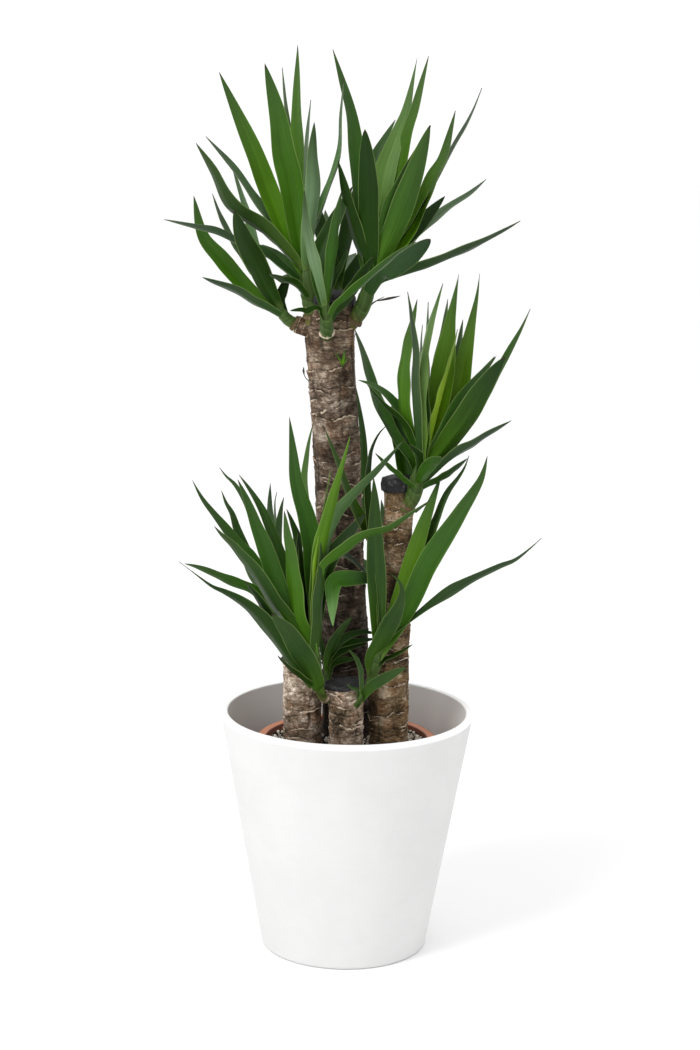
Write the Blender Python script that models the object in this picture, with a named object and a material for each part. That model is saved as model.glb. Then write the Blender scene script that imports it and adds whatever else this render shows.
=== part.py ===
"""A potted yucca: rooted canes with leafy shoots, in a nursery pot that stands in a round planter.

Metres, +Z up. The origin is the centre of the planter's underside, and -Y is the front.
"""

from math import cos, pi, radians, sin, sqrt, tau
from typing import NamedTuple

import bmesh
import bpy
import numpy as np
from mathutils import Vector

# Planter
PLANTER_HEIGHT = 0.337
PLANTER_RIM_RADIUS = 0.175
PLANTER_BASE_RADIUS = 0.116
PLANTER_WALL = 0.010
PLANTER_FLOOR = 0.012
PLANTER_FOOT_ROUND = 0.005
PLANTER_SIDES = 48
PLANTER_COLOUR = (0.80, 0.79, 0.77, 1)

# Nursery pot
POT_HEIGHT = 0.2835
POT_RIM_RADIUS = 0.125
POT_RIM_DROP = 0.014
POT_MOUTH_RADIUS = 0.113
POT_BASE_RADIUS = 0.088
POT_WALL = 0.0025
POT_DRAINS = 4
POT_DRAIN_RADIUS = 0.007
POT_DRAIN_CIRCLE = 0.055
POT_ROUND = 0.0015
POT_COLOUR = (0.52, 0.17, 0.075, 1)

# Soil
SOIL_LEVEL = 0.279
SOIL_BUMP = 0.003
SOIL_RINGS = (1, 0.8, 0.6, 0.4, 0.2)
SOIL_COLOUR = (0.022, 0.017, 0.013, 1)

# Canes, their wax caps and the shoots' stems
CANE_DEPTH = 0.10
CANE_PLAIN_TOP = 0.012
CANE_SIDES = 12
SCAR_PITCH = 0.024
SCAR_HEIGHT = 0.0016
CAP_THICKNESS = 0.0025
CAP_SKIRT = 0.55
CAP_COLOUR = (0.018, 0.018, 0.02, 1)
STEM_SIDES = 8
STEM_SECTIONS = 5
LEAF_COLOUR = (0.06, 0.16, 0.03, 1)

# Play between two pieces, and the sides of what is turned
GAP = 0.0003
ROUND_SIDES = 36

# The eye that the leaves were measured from, and the view's direction
EYE = Vector((0.0, -3.1, 1.232))
CM = 0.01

# Blade of a leaf
BLADE_SECTIONS = 4
BEND_PER_SECTION = radians(32)
MOST_SECTIONS = 7
BLADE_THICK = 0.0022
BLADE_ROOT_THICK = 0.0040
BLADE_FOLD = 0.16
WIDEST_AT = 0.5
ROOT_WIDTH = 0.4
ROOT_OFFSET = 0.5
ROOT_LEAN = 0.5
# A blade's section has an edge, its channel, the other edge and its keel as corners 0 to 3
BLADE_SIDES = ((0, 1), (2, 1), (2, 3), (0, 3))


class Leaf(NamedTuple):
    """A leaf: its seen width, how far its tip lies behind its root, and points (x, z) to the tip, in cm."""

    width: float
    far: float
    points: tuple


class Shoot(NamedTuple):
    """A leafy shoot: stem points (x, y, z), stem radii at its two ends, a blade's full width, leaves; in cm."""

    name: str
    cane: str
    stem: tuple
    radii: tuple
    blade: float
    leaves: tuple


class Cane(NamedTuple):
    """A cane: its depth y, rings (x, z, radius) from the soil up, its wax cap's height, all in cm; colour."""

    name: str
    depth: float
    rings: tuple
    cap: float
    colour: tuple


# Every x and z below is measured on the plane y = 0, as seen from the eye, and then moved to its own depth.
CANES = (
    Cane("cane_tall", 5.0, ((0.3, 30, 3.3), (-0.2, 39.5, 3.25), (-1.35, 57.7, 3.2), (-1.95, 70, 3.2),
         (-2.9, 82, 3.2), (-3.15, 86.5, 3.4), (-3.1, 90.6, 3.1)), 1.9, (0.21, 0.16, 0.12, 1)),
    Cane("cane_middle", -0.5, ((5.85, 30, 2.7), (5.8, 36, 2.65), (6.3, 49.5, 2.2), (6.6, 61.2, 1.95),
         (6.45, 65.8, 2.0)), 1.7, (0.34, 0.23, 0.14, 1)),
    Cane("cane_left", -1.0, ((-6.1, 29.3, 2.65), (-6.25, 35, 2.6), (-6.3, 41.0, 2.5)), 1.4,
         (0.36, 0.30, 0.24, 1)),
    Cane("cane_front", -5.5, ((0.1, 29.3, 2.25), (0.1, 33.5, 2.3), (-0.2, 37.3, 2.55)), 1.3,
         (0.34, 0.28, 0.22, 1)),
)

SHOOTS = (
    Shoot("shoot_far_left", "cane_tall",
          ((-7.4, 4.2, 87.2), (-8.9, 4.0, 88.0), (-10.4, 3.8, 89.8)), (0.85, 0.75), 2.3, (
              Leaf(2.3, 2, ((-13, 90.8), (-15.5, 93.2), (-17.9, 96), (-20.3, 99), (-21.5, 104.2))),
              Leaf(1.0, 7, ((-12.2, 92), (-14, 94.3), (-15.4, 96.6), (-16.8, 99), (-18.1, 101.8),
                   (-19.0, 104.5))),
              Leaf(2.9, -8, ((-11.6, 92), (-13, 95), (-14.8, 98.5), (-16.1, 102.4))),
              Leaf(0.9, -7, ((-12.3, 89.6), (-14, 90.5), (-16.1, 91.8), (-18.3, 92.6), (-20.3, 93.4))),
              Leaf(1.2, 8, ((-11.4, 93), (-12.6, 97), (-14.2, 102), (-16.5, 108.5))),
              Leaf(0.7, 3, ((-10.0, 91), (-9.5, 92), (-8.9, 94))),
          )),
    Shoot("shoot_left", "cane_tall",
          ((-5.6, 4.0, 87.5), (-6.6, 3.6, 90.5), (-7.4, 3.4, 94.5)), (1.2, 1.15), 3.0, (
              Leaf(2.7, 5, ((-8.4, 97), (-10.1, 101), (-12.1, 106), (-13.6, 110), (-15.8, 115),
                   (-18.2, 120.4))),
              Leaf(3.3, 2, ((-7.8, 98), (-8.9, 106), (-9.7, 110), (-10.5, 115), (-12.2, 121.6))),
              Leaf(1.0, 9, ((-7.8, 100), (-8.8, 109), (-9.4, 115), (-9.9, 121.1))),
              Leaf(1.9, -3, ((-7.4, 97), (-7.6, 110), (-7.8, 115), (-7.9, 124.0))),
              Leaf(0.8, 11, ((-6.8, 100), (-6.5, 107), (-6.4, 112), (-6.1, 117.0))),
              Leaf(2.1, -6, ((-6.2, 97), (-5.5, 105), (-5.7, 110), (-5.6, 114.1))),
              Leaf(0.6, 3, ((-6.2, 98), (-5, 100.8), (-3.5, 105.3), (-2.1, 109.7), (-2.0, 115),
                   (-1.8, 119.8))),
              Leaf(1.9, -5, ((-9, 96.8), (-11.2, 99), (-13, 100.5), (-16.6, 103), (-19.1, 107.8),
                   (-21.2, 111.1))),
              Leaf(1.2, 3, ((-8.4, 96.5), (-11, 100.4), (-13.7, 104), (-16.4, 108), (-19.9, 112.0))),
              Leaf(1.0, -4, ((-8.6, 93.3), (-10.1, 95), (-12, 96.5), (-15, 97.6), (-18.3, 99.3),
                   (-20.8, 99.9), (-25.4, 101.0))),
              Leaf(1.5, 7, ((-8.2, 94.5), (-10.0, 96.2), (-12.4, 97.9))),
              Leaf(1.1, -9, ((-7.9, 92.6), (-9.5, 93.2), (-11.4, 94))),
          )),
    Shoot("shoot_front", "cane_tall",
          ((-3.6, 2.4, 86.0), (-3.7, 0.6, 87.6), (-3.7, -0.4, 90.2)), (0.75, 0.8), 2.2, (
              Leaf(1.5, -7, ((-4.2, 91.4), (-4.9, 93), (-5.7, 95), (-6.8, 101), (-6.8, 104.6))),
              Leaf(1.3, -4, ((-3.3, 92), (-3.0, 95), (-2.6, 100), (-1.9, 105))),
              Leaf(2.6, -12, ((-2.6, 91), (-0.5, 91.9), (2, 94.2), (5, 96.6), (9.9, 98.7))),
              Leaf(1.6, -9, ((-4.8, 90.8), (-7.2, 91.6), (-9.6, 91.9), (-11.6, 91.0))),
              Leaf(1.3, -10, ((-3.4, 91.6), (-1.8, 95.5), (-0.6, 99.0))),
          )),
    Shoot("shoot_right", "cane_tall",
          ((-1.2, 4.2, 87.0), (0.9, 3.6, 89.4), (2.3, 3.4, 93.2)), (1.05, 1.05), 3.1, (
              Leaf(2.2, 5, ((1.3, 98), (0.3, 105), (-0.2, 110), (-0.8, 115), (-2.2, 120),
                   (-3.3, 123.6))),
              Leaf(2.6, -5, ((1.7, 97), (1.6, 101), (1.5, 106), (1.1, 113.3))),
              Leaf(1.7, -2, ((1.6, 95.5), (0.4, 98.5), (-0.9, 103), (-2.4, 109.2))),
              Leaf(1.0, 8, ((2.6, 98), (3.3, 104), (3.6, 109), (5.1, 114.5))),
              Leaf(1.2, 9, ((3.1, 99), (4.4, 106), (5.6, 110), (6.7, 115), (7.9, 122.4))),
              Leaf(1.8, 4, ((3.3, 98), (5.6, 106), (6.7, 110), (7.6, 115), (9.2, 122.8))),
              Leaf(3.3, -3, ((3.1, 95.5), (5.2, 100), (7.3, 106), (8.5, 110), (9.7, 114.0))),
              Leaf(1.9, 5, ((4.2, 95), (6.8, 98.5), (8.5, 102), (10.3, 107), (11.7, 110),
                   (13.0, 115.9))),
              Leaf(0.7, 8, ((4.2, 96), (7.6, 101), (10.4, 106), (12.9, 111), (14.5, 114), (15.5, 116.3),
                   (16.4, 118.9))),
              Leaf(1.1, 10, ((4.6, 95.5), (7.4, 98.5), (10.2, 101.3), (12.3, 103), (15.1, 105),
                   (17.3, 107))),
              Leaf(2.5, 12, ((4.6, 95), (7.1, 98.2), (8.9, 100.6), (11.9, 104.6))),
              Leaf(1.0, -4, ((3.5, 92.9), (5, 93.6), (7.3, 94.4), (9.9, 95.3), (12.4, 96.4), (15, 97.6),
                   (17.5, 98.9), (20.1, 100.4), (22.0, 101.6))),
          )),
    Shoot("shoot_back", "cane_tall",
          ((-2.6, 7.4, 87.6), (-2.2, 9.6, 89.4), (-2.0, 10.6, 92.6)), (0.9, 0.9), 2.6, (
              Leaf(2.2, 7, ((-3.6, 97), (-6.4, 104), (-9.4, 110))),
              Leaf(2.2, 9, ((-1.4, 97), (0.2, 104), (2.2, 110.5))),
              Leaf(2.2, 12, ((0.4, 95), (4.0, 99), (8.2, 103.2))),
              Leaf(2.0, 10, ((-4.6, 94.5), (-9.0, 97.6), (-13.2, 100.4))),
              Leaf(2.0, 15, ((-2.4, 95), (-3.4, 99), (-4.0, 102.6))),
              Leaf(1.8, 14, ((1.0, 93.4), (4.6, 94.2), (8.6, 95.0))),
              Leaf(1.8, 13, ((-4.2, 92.8), (-7.0, 93.6), (-10.4, 93.4))),
              Leaf(1.8, 16, ((-1.8, 93), (-1.0, 95.6), (0.2, 97.0))),
          )),
    Shoot("shoot_middle", "cane_middle",
          ((7.3, -1.6, 62.4), (8.5, -2.2, 64.0), (9.7, -2.3, 69.0)), (1.05, 1.2), 2.9, (
              Leaf(0.8, -4, ((9.1, 71), (8.4, 75), (8.2, 80), (8.3, 83), (7.8, 87.5), (7.2, 92.0))),
              Leaf(1.7, -6, ((8.6, 70.5), (7.1, 74), (6.6, 78), (6.7, 81.5), (7.2, 85), (7.9, 88),
                   (8.5, 90.9))),
              Leaf(0.5, 7, ((9.3, 74), (9.1, 80), (9.1, 85), (9.3, 87.5))),
              Leaf(1.2, -2, ((9.5, 72), (9.3, 76), (9.3, 80), (9.7, 84), (10.2, 87.2), (10.9, 90.2),
                   (11.9, 93.1))),
              Leaf(0.6, 4, ((9.7, 76), (9.7, 82), (9.8, 86), (10.0, 90.6))),
              Leaf(1.4, 9, ((10.6, 75), (11.5, 81), (12.1, 85.5), (12.4, 88.5), (12.6, 91.0))),
              Leaf(2.4, 1, ((10.2, 72), (10.7, 75.5), (11.5, 80), (12.6, 83.5), (13.1, 87),
                   (13.6, 90.4), (14.0, 94.4))),
              Leaf(1.2, 5, ((10.6, 72), (11.9, 76), (13.0, 81), (13.8, 85), (14.5, 89.6))),
              Leaf(1.5, 10, ((11.2, 74), (13.7, 81), (14.3, 84), (14.5, 86.5), (14.7, 88.3))),
              Leaf(2.1, 5, ((10.3, 70.5), (11.6, 75), (13.3, 79), (15, 83), (15.9, 87), (16.4, 90.5),
                   (16.8, 94.6))),
              Leaf(3.0, -6, ((12.1, 71.2), (14, 74.5), (16.3, 77.7), (18.9, 81), (20.3, 83.2),
                   (21.8, 85.3), (22.8, 88), (23.6, 89.9))),
              Leaf(1.3, 9, ((12.2, 73), (14.5, 76.5), (16, 79), (17.6, 81.3), (19.1, 83.4))),
              Leaf(1.0, -5, ((11.1, 66.9), (13, 68.8), (15, 70.4), (16.5, 71.3), (18.3, 72.6),
                   (20, 73.7), (21.6, 74.7))),
              Leaf(0.9, -3, ((10.7, 65.6), (12.2, 66.4), (13.8, 67.6), (15.8, 69.4))),
              Leaf(1.8, -11, ((10.6, 68.2), (11.4, 69.0), (12.4, 69.5))),
              Leaf(1.1, -8, ((9.2, 69.2), (8.8, 70.3), (7.9, 71.2))),
              Leaf(2.0, 8, ((7.9, 69), (6.3, 71.2), (4.5, 74.2), (3.2, 77.2), (2.2, 80.3), (1.5, 83),
                   (0.2, 86.8))),
              Leaf(1.2, 1, ((8.6, 70.5), (7.6, 73), (6.3, 75.7), (4.9, 77.6), (3, 79.1), (0.8, 79.9))),
              Leaf(0.8, -3, ((8.7, 70), (7.5, 72.8), (6.4, 74.6), (4.6, 76.2), (2.0, 79.3))),
              Leaf(0.7, -6, ((8.4, 65.4), (7.7, 65.7), (6.2, 67), (4.9, 68.2), (3.3, 69.9))),
              Leaf(1.6, 12, ((10.2, 70), (11.0, 74), (11.6, 78.4))),
              Leaf(1.5, 11, ((8.8, 70), (7.8, 72.5), (6.9, 75.0))),
              Leaf(1.6, 12, ((11.2, 69), (13.6, 71.4), (15.6, 74.0))),
          )),
    Shoot("shoot_rear", "cane_middle",
          ((6.2, 1.2, 43.6), (6.3, 3.0, 45.0), (6.2, 3.9, 48.0)), (0.7, 0.8), 2.2, (
              Leaf(1.9, 10, ((4.6, 54), (2.4, 61), (1.6, 67), (1.5, 72), (1.0, 76), (0.3, 79.8))),
              Leaf(1.8, 10, ((5.6, 54), (4.9, 59), (4.2, 63.5))),
              Leaf(1.6, 12, ((6.8, 53), (7.5, 57.5), (8.0, 61))),
              Leaf(1.6, 14, ((4.4, 51.5), (1.0, 55), (-2.4, 58))),
              Leaf(1.4, 13, ((7.4, 50), (8.7, 51.8), (10.2, 53))),
              Leaf(1.4, 15, ((5.4, 50), (4.0, 51.6), (2.0, 52.2))),
          )),
    Shoot("shoot_low_left", "cane_left",
          ((-7.2, 0.4, 38.6), (-8.8, 1.8, 41.2), (-9.3, 2.2, 45.0)), (0.75, 0.9), 2.4, (
              Leaf(1.6, 2, ((-11.2, 50.5), (-13.7, 55), (-15.5, 57), (-17.2, 59.2), (-18.6, 61),
                   (-20.1, 63), (-21, 64.6), (-21.55, 65.75))),
              Leaf(1.5, 5, ((-11.6, 51), (-14.0, 55.3), (-14.8, 57.2), (-15.6, 59.2), (-16.2, 61.2),
                   (-17, 62.7), (-17.6, 64.4))),
              Leaf(1.5, 8, ((-10.8, 52), (-12.6, 58), (-14.0, 62.2), (-15.7, 65.1), (-17.0, 66.4),
                   (-17.9, 67.6))),
              Leaf(1.6, 11, ((-9.9, 52), (-10.3, 57), (-10.9, 60.5), (-11.05, 62.5), (-10.95, 65.5))),
              Leaf(0.7, 13, ((-9.6, 53), (-10.2, 59), (-10.35, 62.5), (-10.05, 64.3))),
              Leaf(1.5, 7, ((-9.5, 51), (-9.7, 56), (-9.6, 60), (-9.4, 62), (-9.1, 63.6))),
              Leaf(1.7, 5, ((-8.6, 50), (-7.4, 54.5), (-7.0, 57.5), (-7.8, 60), (-8.7, 62))),
              Leaf(1.4, -1, ((-11.2, 48.4), (-13.2, 50.3), (-15.1, 51.1), (-16.7, 51.8), (-18.25, 52.5),
                   (-20, 53.3), (-21.4, 53.8), (-22.6, 54.1))),
              Leaf(1.6, 12, ((-10.6, 49), (-13.0, 52), (-14.6, 54.6))),
              Leaf(1.6, 13, ((-8.4, 49), (-7.2, 52), (-6.2, 54.6))),
              Leaf(1.5, 14, ((-9.4, 49), (-9.6, 52.6), (-9.2, 56.4))),
              Leaf(1.4, 13, ((-10.6, 46.6), (-12.2, 47.6), (-13.0, 49.2))),
          )),
    Shoot("shoot_low_centre", "cane_front",
          ((-2.4, -6.3, 35.4), (-3.5, -7.1, 36.4), (-4.1, -7.5, 38.6),
          (-4.8, -7.6, 44.0)), (0.75, 1.15), 2.8, (
              Leaf(2.5, -1, ((-6.4, 44.2), (-8.2, 47), (-9.6, 50), (-10.9, 54), (-11.9, 57),
                   (-12.8, 59.3), (-13.6, 61.6), (-14.4, 63.7), (-15.4, 66.0))),
              Leaf(1.6, 4, ((-6.4, 46.2), (-8.6, 51.5), (-10.2, 56.8), (-11.2, 59.5), (-12, 61.4),
                   (-13, 63.3), (-14.2, 65.2), (-15.2, 66.6))),
              Leaf(1.9, -4, ((-7.2, 44.6), (-10.1, 48.4), (-11.3, 50.3), (-12.4, 52.1), (-13.5, 53.8),
                   (-15, 55.6), (-16.2, 57), (-17.5, 58.2), (-18.55, 59.4))),
              Leaf(2.0, -5, ((-5.6, 43.6), (-7.0, 46.2), (-7.6, 50), (-7.9, 53), (-8.2, 56),
                   (-8.6, 58.5), (-9.0, 61.7))),
              Leaf(1.3, -7, ((-5.0, 39.6), (-7.0, 41.3), (-8.7, 43.1), (-10.3, 44.5), (-11.9, 45.6),
                   (-13.5, 47), (-15.1, 48.4), (-17.0, 49.6), (-19.0, 51), (-23.4, 54.5))),
              Leaf(0.8, -2, ((-5.8, 41.0), (-7.4, 41.9), (-9.0, 43.4), (-10.2, 45.6), (-11.4, 48.0),
                   (-12.5, 49.8), (-14.3, 51.9))),
              Leaf(2.8, -9, ((-4.7, 38.8), (-5.6, 40.2), (-6.6, 41.8), (-7.5, 43.3), (-8.5, 44.9),
                   (-9.6, 46.1), (-10.6, 47.2))),
              Leaf(2.6, 1, ((-4.8, 48), (-5.1, 53), (-5.3, 57), (-6.2, 61.3), (-7.0, 63.9),
                   (-7.6, 66.5), (-7.9, 69.5), (-8.2, 72.5), (-8.45, 74.7))),
              Leaf(1.5, 6, ((-4.9, 48), (-5.1, 55), (-5.6, 61), (-6.0, 64), (-6.2, 66.5), (-6.0, 69),
                   (-5.7, 71.5), (-5.2, 74))),
              Leaf(1.8, -2, ((-4.6, 47), (-4.4, 52), (-3.8, 57), (-2.9, 60.6), (-2.1, 63.7),
                   (-1.5, 66.6), (-0.8, 69.8), (0, 72.7))),
              Leaf(0.6, 3, ((-4.6, 50), (-4.1, 57), (-3.7, 61.5), (-3.1, 65.3), (-2.75, 67.7))),
              Leaf(1.7, -6, ((-4.5, 47), (-4.2, 52), (-3.7, 56), (-2.7, 59.4), (-1.4, 61.8),
                   (0.6, 64.5), (2.8, 66.9), (4.8, 69.2), (7.3, 72))),
              Leaf(1.2, -5, ((-4.4, 46.4), (-4.0, 50), (-3.0, 53.8), (-1.4, 56.4), (0.3, 57.8),
                   (2.2, 58.9), (4.5, 59.8), (7.6, 61), (10.8, 63.5))),
              Leaf(1.8, -1, ((-4.5, 47), (-3.9, 51.5), (-2.8, 55), (-1.6, 57.6), (0.0, 59.8),
                   (2.5, 62.2))),
              Leaf(1.2, 6, ((-4.3, 46), (-3.4, 50.6), (-1.8, 52.4), (0.3, 52.9), (2.3, 53.2),
                   (4.2, 53.5))),
              Leaf(2.3, -7, ((-4.4, 46.6), (-4.1, 50.4), (-3.4, 53.2), (-2.75, 53.7), (-2.35, 52.3),
                   (-2.2, 49.6), (-2.15, 45.4))),
              Leaf(0.7, -6, ((-4.6, 37.0), (-6.2, 37.9), (-8.2, 39.6), (-9.7, 41.3))),
              Leaf(1.6, 4, ((-5.4, 47), (-6.4, 51), (-6.9, 55.5), (-7.0, 59))),
          )),
    Shoot("shoot_low_right", "cane_front",
          ((1.6, -4.7, 36.4), (3.1, -4.1, 37.8), (3.8, -4.5, 39.8),
          (4.3, -4.9, 42.6)), (0.65, 1.05), 2.7, (
              Leaf(1.4, 3, ((4.2, 46), (3.9, 52), (3.2, 57.5), (2.2, 61.6), (0.8, 65), (0.0, 66.6),
                   (-1.6, 69.6), (-3.0, 72.2), (-3.8, 73.5))),
              Leaf(2.6, -1, ((4.0, 45), (3.8, 50), (3.5, 55), (3.35, 60), (3.3, 63.5), (3.1, 66.6))),
              Leaf(1.3, 2, ((4.3, 47), (3.4, 55), (2.4, 61), (2.1, 65), (2.5, 69.5), (3.1, 71.5),
                   (3.9, 72.9), (5.0, 74.0))),
              Leaf(1.9, 2, ((5.6, 45.5), (7.0, 48.8), (8.3, 53.3), (9.1, 56.3), (10.0, 59.6),
                   (10.8, 62.2), (11.6, 64.8), (12.3, 67))),
              Leaf(1.5, 3, ((5.8, 45), (8.0, 49.4), (9.9, 54.5), (11.4, 59.3), (12.1, 61.3),
                   (12.7, 63.2), (13.5, 65), (14.6, 66.6), (15.5, 68.2), (16.0, 69.8))),
              Leaf(2.9, -3, ((5.6, 43.6), (7.5, 47), (9.0, 50.2), (10.5, 54), (11.7, 56.3), (13, 58.4),
                   (14.3, 60.5), (15.5, 62.6), (16.7, 64.6), (17.7, 66.5), (18.2, 68.2), (18.5, 69.8))),
              Leaf(2.3, -6, ((4.6, 41.6), (5.4, 43), (6.2, 45), (6.8, 47.2), (7.1, 49.6), (6.9, 51.6),
                   (6.2, 52.9), (5.1, 53.7))),
              Leaf(1.4, -6, ((5.4, 42.6), (6.8, 44.6), (8.6, 46.3), (12.4, 49.3), (15.0, 51.3),
                   (17.7, 53.2), (21.7, 55.1), (24.2, 56.4), (26.2, 58.5))),
              Leaf(0.7, -2, ((5.0, 40.6), (6.2, 41.3), (7.5, 42.1), (8.9, 43.2))),
              Leaf(1.3, -3, ((4.6, 44.6), (4.9, 48.2), (5.0, 52.2))),
          )),
    Shoot("shoot_small_right", "cane_front",
          ((1.0, -7.0, 33.9), (1.7, -8.2, 34.9), (2.0, -8.7, 36.0)), (0.4, 0.42), 1.3, (
              Leaf(1.3, -2.5, ((3.1, 36.8), (4.6, 37.9), (6.1, 38.8), (7.3, 39.5), (8.1, 39.9))),
              Leaf(0.6, 0.3, ((1.75, 37.6), (1.6, 39.6), (1.0, 41.2), (0.05, 42.4))),
              Leaf(0.4, -0.8, ((1.3, 36.4), (0.6, 36.8), (-0.1, 37.4))),
          )),
    Shoot("shoot_small_left", "cane_front",
          ((-1.5, -4.5, 36.2), (-2.7, -3.5, 37.8), (-3.0, -3.3, 39.4)), (0.45, 0.48), 1.4, (
              Leaf(1.2, -1.5, ((-2.6, 41.6), (-1.7, 43.8), (-0.6, 45.6), (0.6, 47.1))),
              Leaf(0.9, 0.5, ((-2.2, 41.4), (-1.0, 42.8), (1.2, 43.4), (4.0, 44.0))),
              Leaf(0.8, 2.0, ((-3.5, 41.6), (-3.9, 43.6), (-4.0, 45.4))),
          )),
)

# The stub on the tall cane's left side that carries its outermost shoot: points (x, y, z) and radius in cm
STUB = ((-4.6, 4.6, 86.2), (-7.6, 4.2, 87.3))
STUB_RADIUS = 1.15


def seen(x, z, y):
    """The point at depth y that shows at (x, z) on the plane y = 0; centimetres in, metres out."""
    on_plane = Vector((x * CM, 0, z * CM))
    return EYE + (on_plane - EYE) * ((y * CM - EYE.y) / -EYE.y)


def material(name, colour, roughness, metallic=0.0):
    made = bpy.data.materials.new(name)
    made.use_nodes = True
    shader = made.node_tree.nodes["Principled BSDF"]
    shader.inputs["Base Color"].default_value = colour
    shader.inputs["Roughness"].default_value = roughness
    shader.inputs["Metallic"].default_value = metallic
    made.diffuse_color = colour
    return made


def put(name, bm, finish=None, smooth=radians(40)):
    """Ends a bmesh as an object of this name."""
    bmesh.ops.recalc_face_normals(bm, faces=bm.faces)
    mesh = bpy.data.meshes.new(name)
    bm.to_mesh(mesh)
    bm.free()
    mesh.shade_smooth()
    mesh.set_sharp_from_angle(angle=smooth)
    obj = bpy.data.objects.new(name, mesh)
    bpy.context.scene.collection.objects.link(obj)
    if finish:
        mesh.materials.append(finish)
    return obj


def apply_boolean(obj, tools, operation, solver="EXACT"):
    """One Boolean with every tool, applied, after which the tools are removed."""
    group = bpy.data.collections.new("tools")
    bpy.context.scene.collection.children.link(group)
    for tool in tools:
        bpy.context.scene.collection.objects.unlink(tool)
        group.objects.link(tool)
    step = obj.modifiers.new("join", "BOOLEAN")
    step.operation = operation
    step.solver = solver
    step.operand_type = "COLLECTION"
    step.collection = group
    bpy.context.view_layer.objects.active = obj
    bpy.ops.object.modifier_apply(modifier=step.name)
    for tool in tools:
        bpy.data.objects.remove(tool)
    bpy.data.collections.remove(group)


def keep_largest_body(obj):
    """Drops the sealed hollows and loose scraps that joining crossed blades leaves."""
    bm = bmesh.new()
    bm.from_mesh(obj.data)
    bm.faces.ensure_lookup_table()
    unseen = set(bm.faces)
    bodies = []
    while unseen:
        front = [unseen.pop()]
        body = list(front)
        while front:
            near = {f for edge in front.pop().edges for f in edge.link_faces} & unseen
            unseen -= near
            front += near
            body += near
        bodies.append(body)
    bodies.sort(key=len)
    bmesh.ops.delete(bm, geom=[f for body in bodies[:-1] for f in body], context="FACES")
    bm.to_mesh(obj.data)
    bm.free()


def arc(centre, radius, start, end, steps):
    """Points (r, z) on an arc, angles in radians."""
    turns = (start + (end - start) * i / steps for i in range(steps + 1))
    return [(centre[0] + radius * cos(a), centre[1] + radius * sin(a)) for a in turns]


def turned(name, profile, finish, sides=ROUND_SIDES):
    """A solid turned about Z from a profile of (radius, z) that starts and ends on the axis."""
    bm = bmesh.new()
    points = [bm.verts.new((r, 0, z)) for r, z in profile]
    edges = [bm.edges.new(pair) for pair in zip(points, points[1:])]
    bmesh.ops.spin(bm, geom=points + edges, cent=(0, 0, 0), axis=(0, 0, 1), angle=tau, steps=sides)
    bmesh.ops.remove_doubles(bm, verts=bm.verts, dist=1e-5)
    return put(name, bm, finish)


def tube(name, rings, finish=None):
    """A closed solid through rings of points, each ring a list of the same length."""
    bm = bmesh.new()
    loops = [[bm.verts.new(p) for p in ring] for ring in rings]
    sides = len(loops[0])
    for low, high in zip(loops, loops[1:]):
        for i in range(sides):
            j = (i + 1) % sides
            bm.faces.new((low[i], low[j], high[j], high[i]))
    bm.faces.new(loops[0][::-1])
    bm.faces.new(loops[-1])
    return put(name, bm, finish)


def smooth_path(points, count):
    """Points spaced evenly along a smooth curve through the given ones."""
    points = np.array([tuple(p) for p in points])
    ends = np.vstack([2 * points[0] - points[1], points, 2 * points[-1] - points[-2]])
    dense = []
    for a, b, c, d in zip(ends, ends[1:], ends[2:], ends[3:]):
        for t in np.linspace(0, 1, 12, endpoint=False):
            dense.append(0.5 * (2 * b + (c - a) * t + (2 * a - 5 * b + 4 * c - d) * t**2
                                + (3 * b - a - 3 * c + d) * t**3))
    dense.append(points[-1])
    dense = np.array(dense)
    reach = np.concatenate([[0], np.cumsum(np.linalg.norm(np.diff(dense, axis=0), axis=1))])
    at = np.linspace(0, reach[-1], count)
    return [Vector([np.interp(s, reach, dense[:, k]) for k in range(3)]) for s in at]


def frame_at(path, i):
    """Direction of a path at point i, and two unit vectors across it, the first one near +X."""
    along = (path[min(i + 1, len(path) - 1)] - path[max(i - 1, 0)]).normalized()
    across = (Vector((1, 0, 0)) - along * along.x).normalized()
    return along, across, along.cross(across)


def ring(centre, across, other, radius, sides):
    """Points on a circle, or on a lumpy one where the radius is a function of the angle."""
    points = []
    for i in range(sides):
        a = tau * i / sides
        r = radius(a) if callable(radius) else radius
        points.append(centre + across * (r * cos(a)) + other * (r * sin(a)))
    return points


def make_planter():
    lip = PLANTER_WALL / 2
    slope = (PLANTER_RIM_RADIUS - PLANTER_BASE_RADIUS) / PLANTER_HEIGHT
    inner_floor = PLANTER_BASE_RADIUS + slope * PLANTER_FLOOR - PLANTER_WALL
    foot_centre = (PLANTER_BASE_RADIUS - PLANTER_FOOT_ROUND, PLANTER_FOOT_ROUND)
    rim_centre = (PLANTER_RIM_RADIUS - lip, PLANTER_HEIGHT - lip)
    profile = [(0, 0)]
    profile += arc(foot_centre, PLANTER_FOOT_ROUND, -pi / 2, 0, 2)
    profile += arc(rim_centre, lip, 0, pi, 4)
    profile += [(inner_floor, PLANTER_FLOOR), (0, PLANTER_FLOOR)]
    turned("planter", profile, material("planter_stone_white", PLANTER_COLOUR, 0.62), PLANTER_SIDES)


def pot_radius(z, inset):
    """Radius of the nursery pot's outer wall at height z above its foot, less an inset."""
    top = POT_MOUTH_RADIUS + POT_WALL
    return POT_BASE_RADIUS + (top - POT_BASE_RADIUS) * z / POT_HEIGHT - inset


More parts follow.
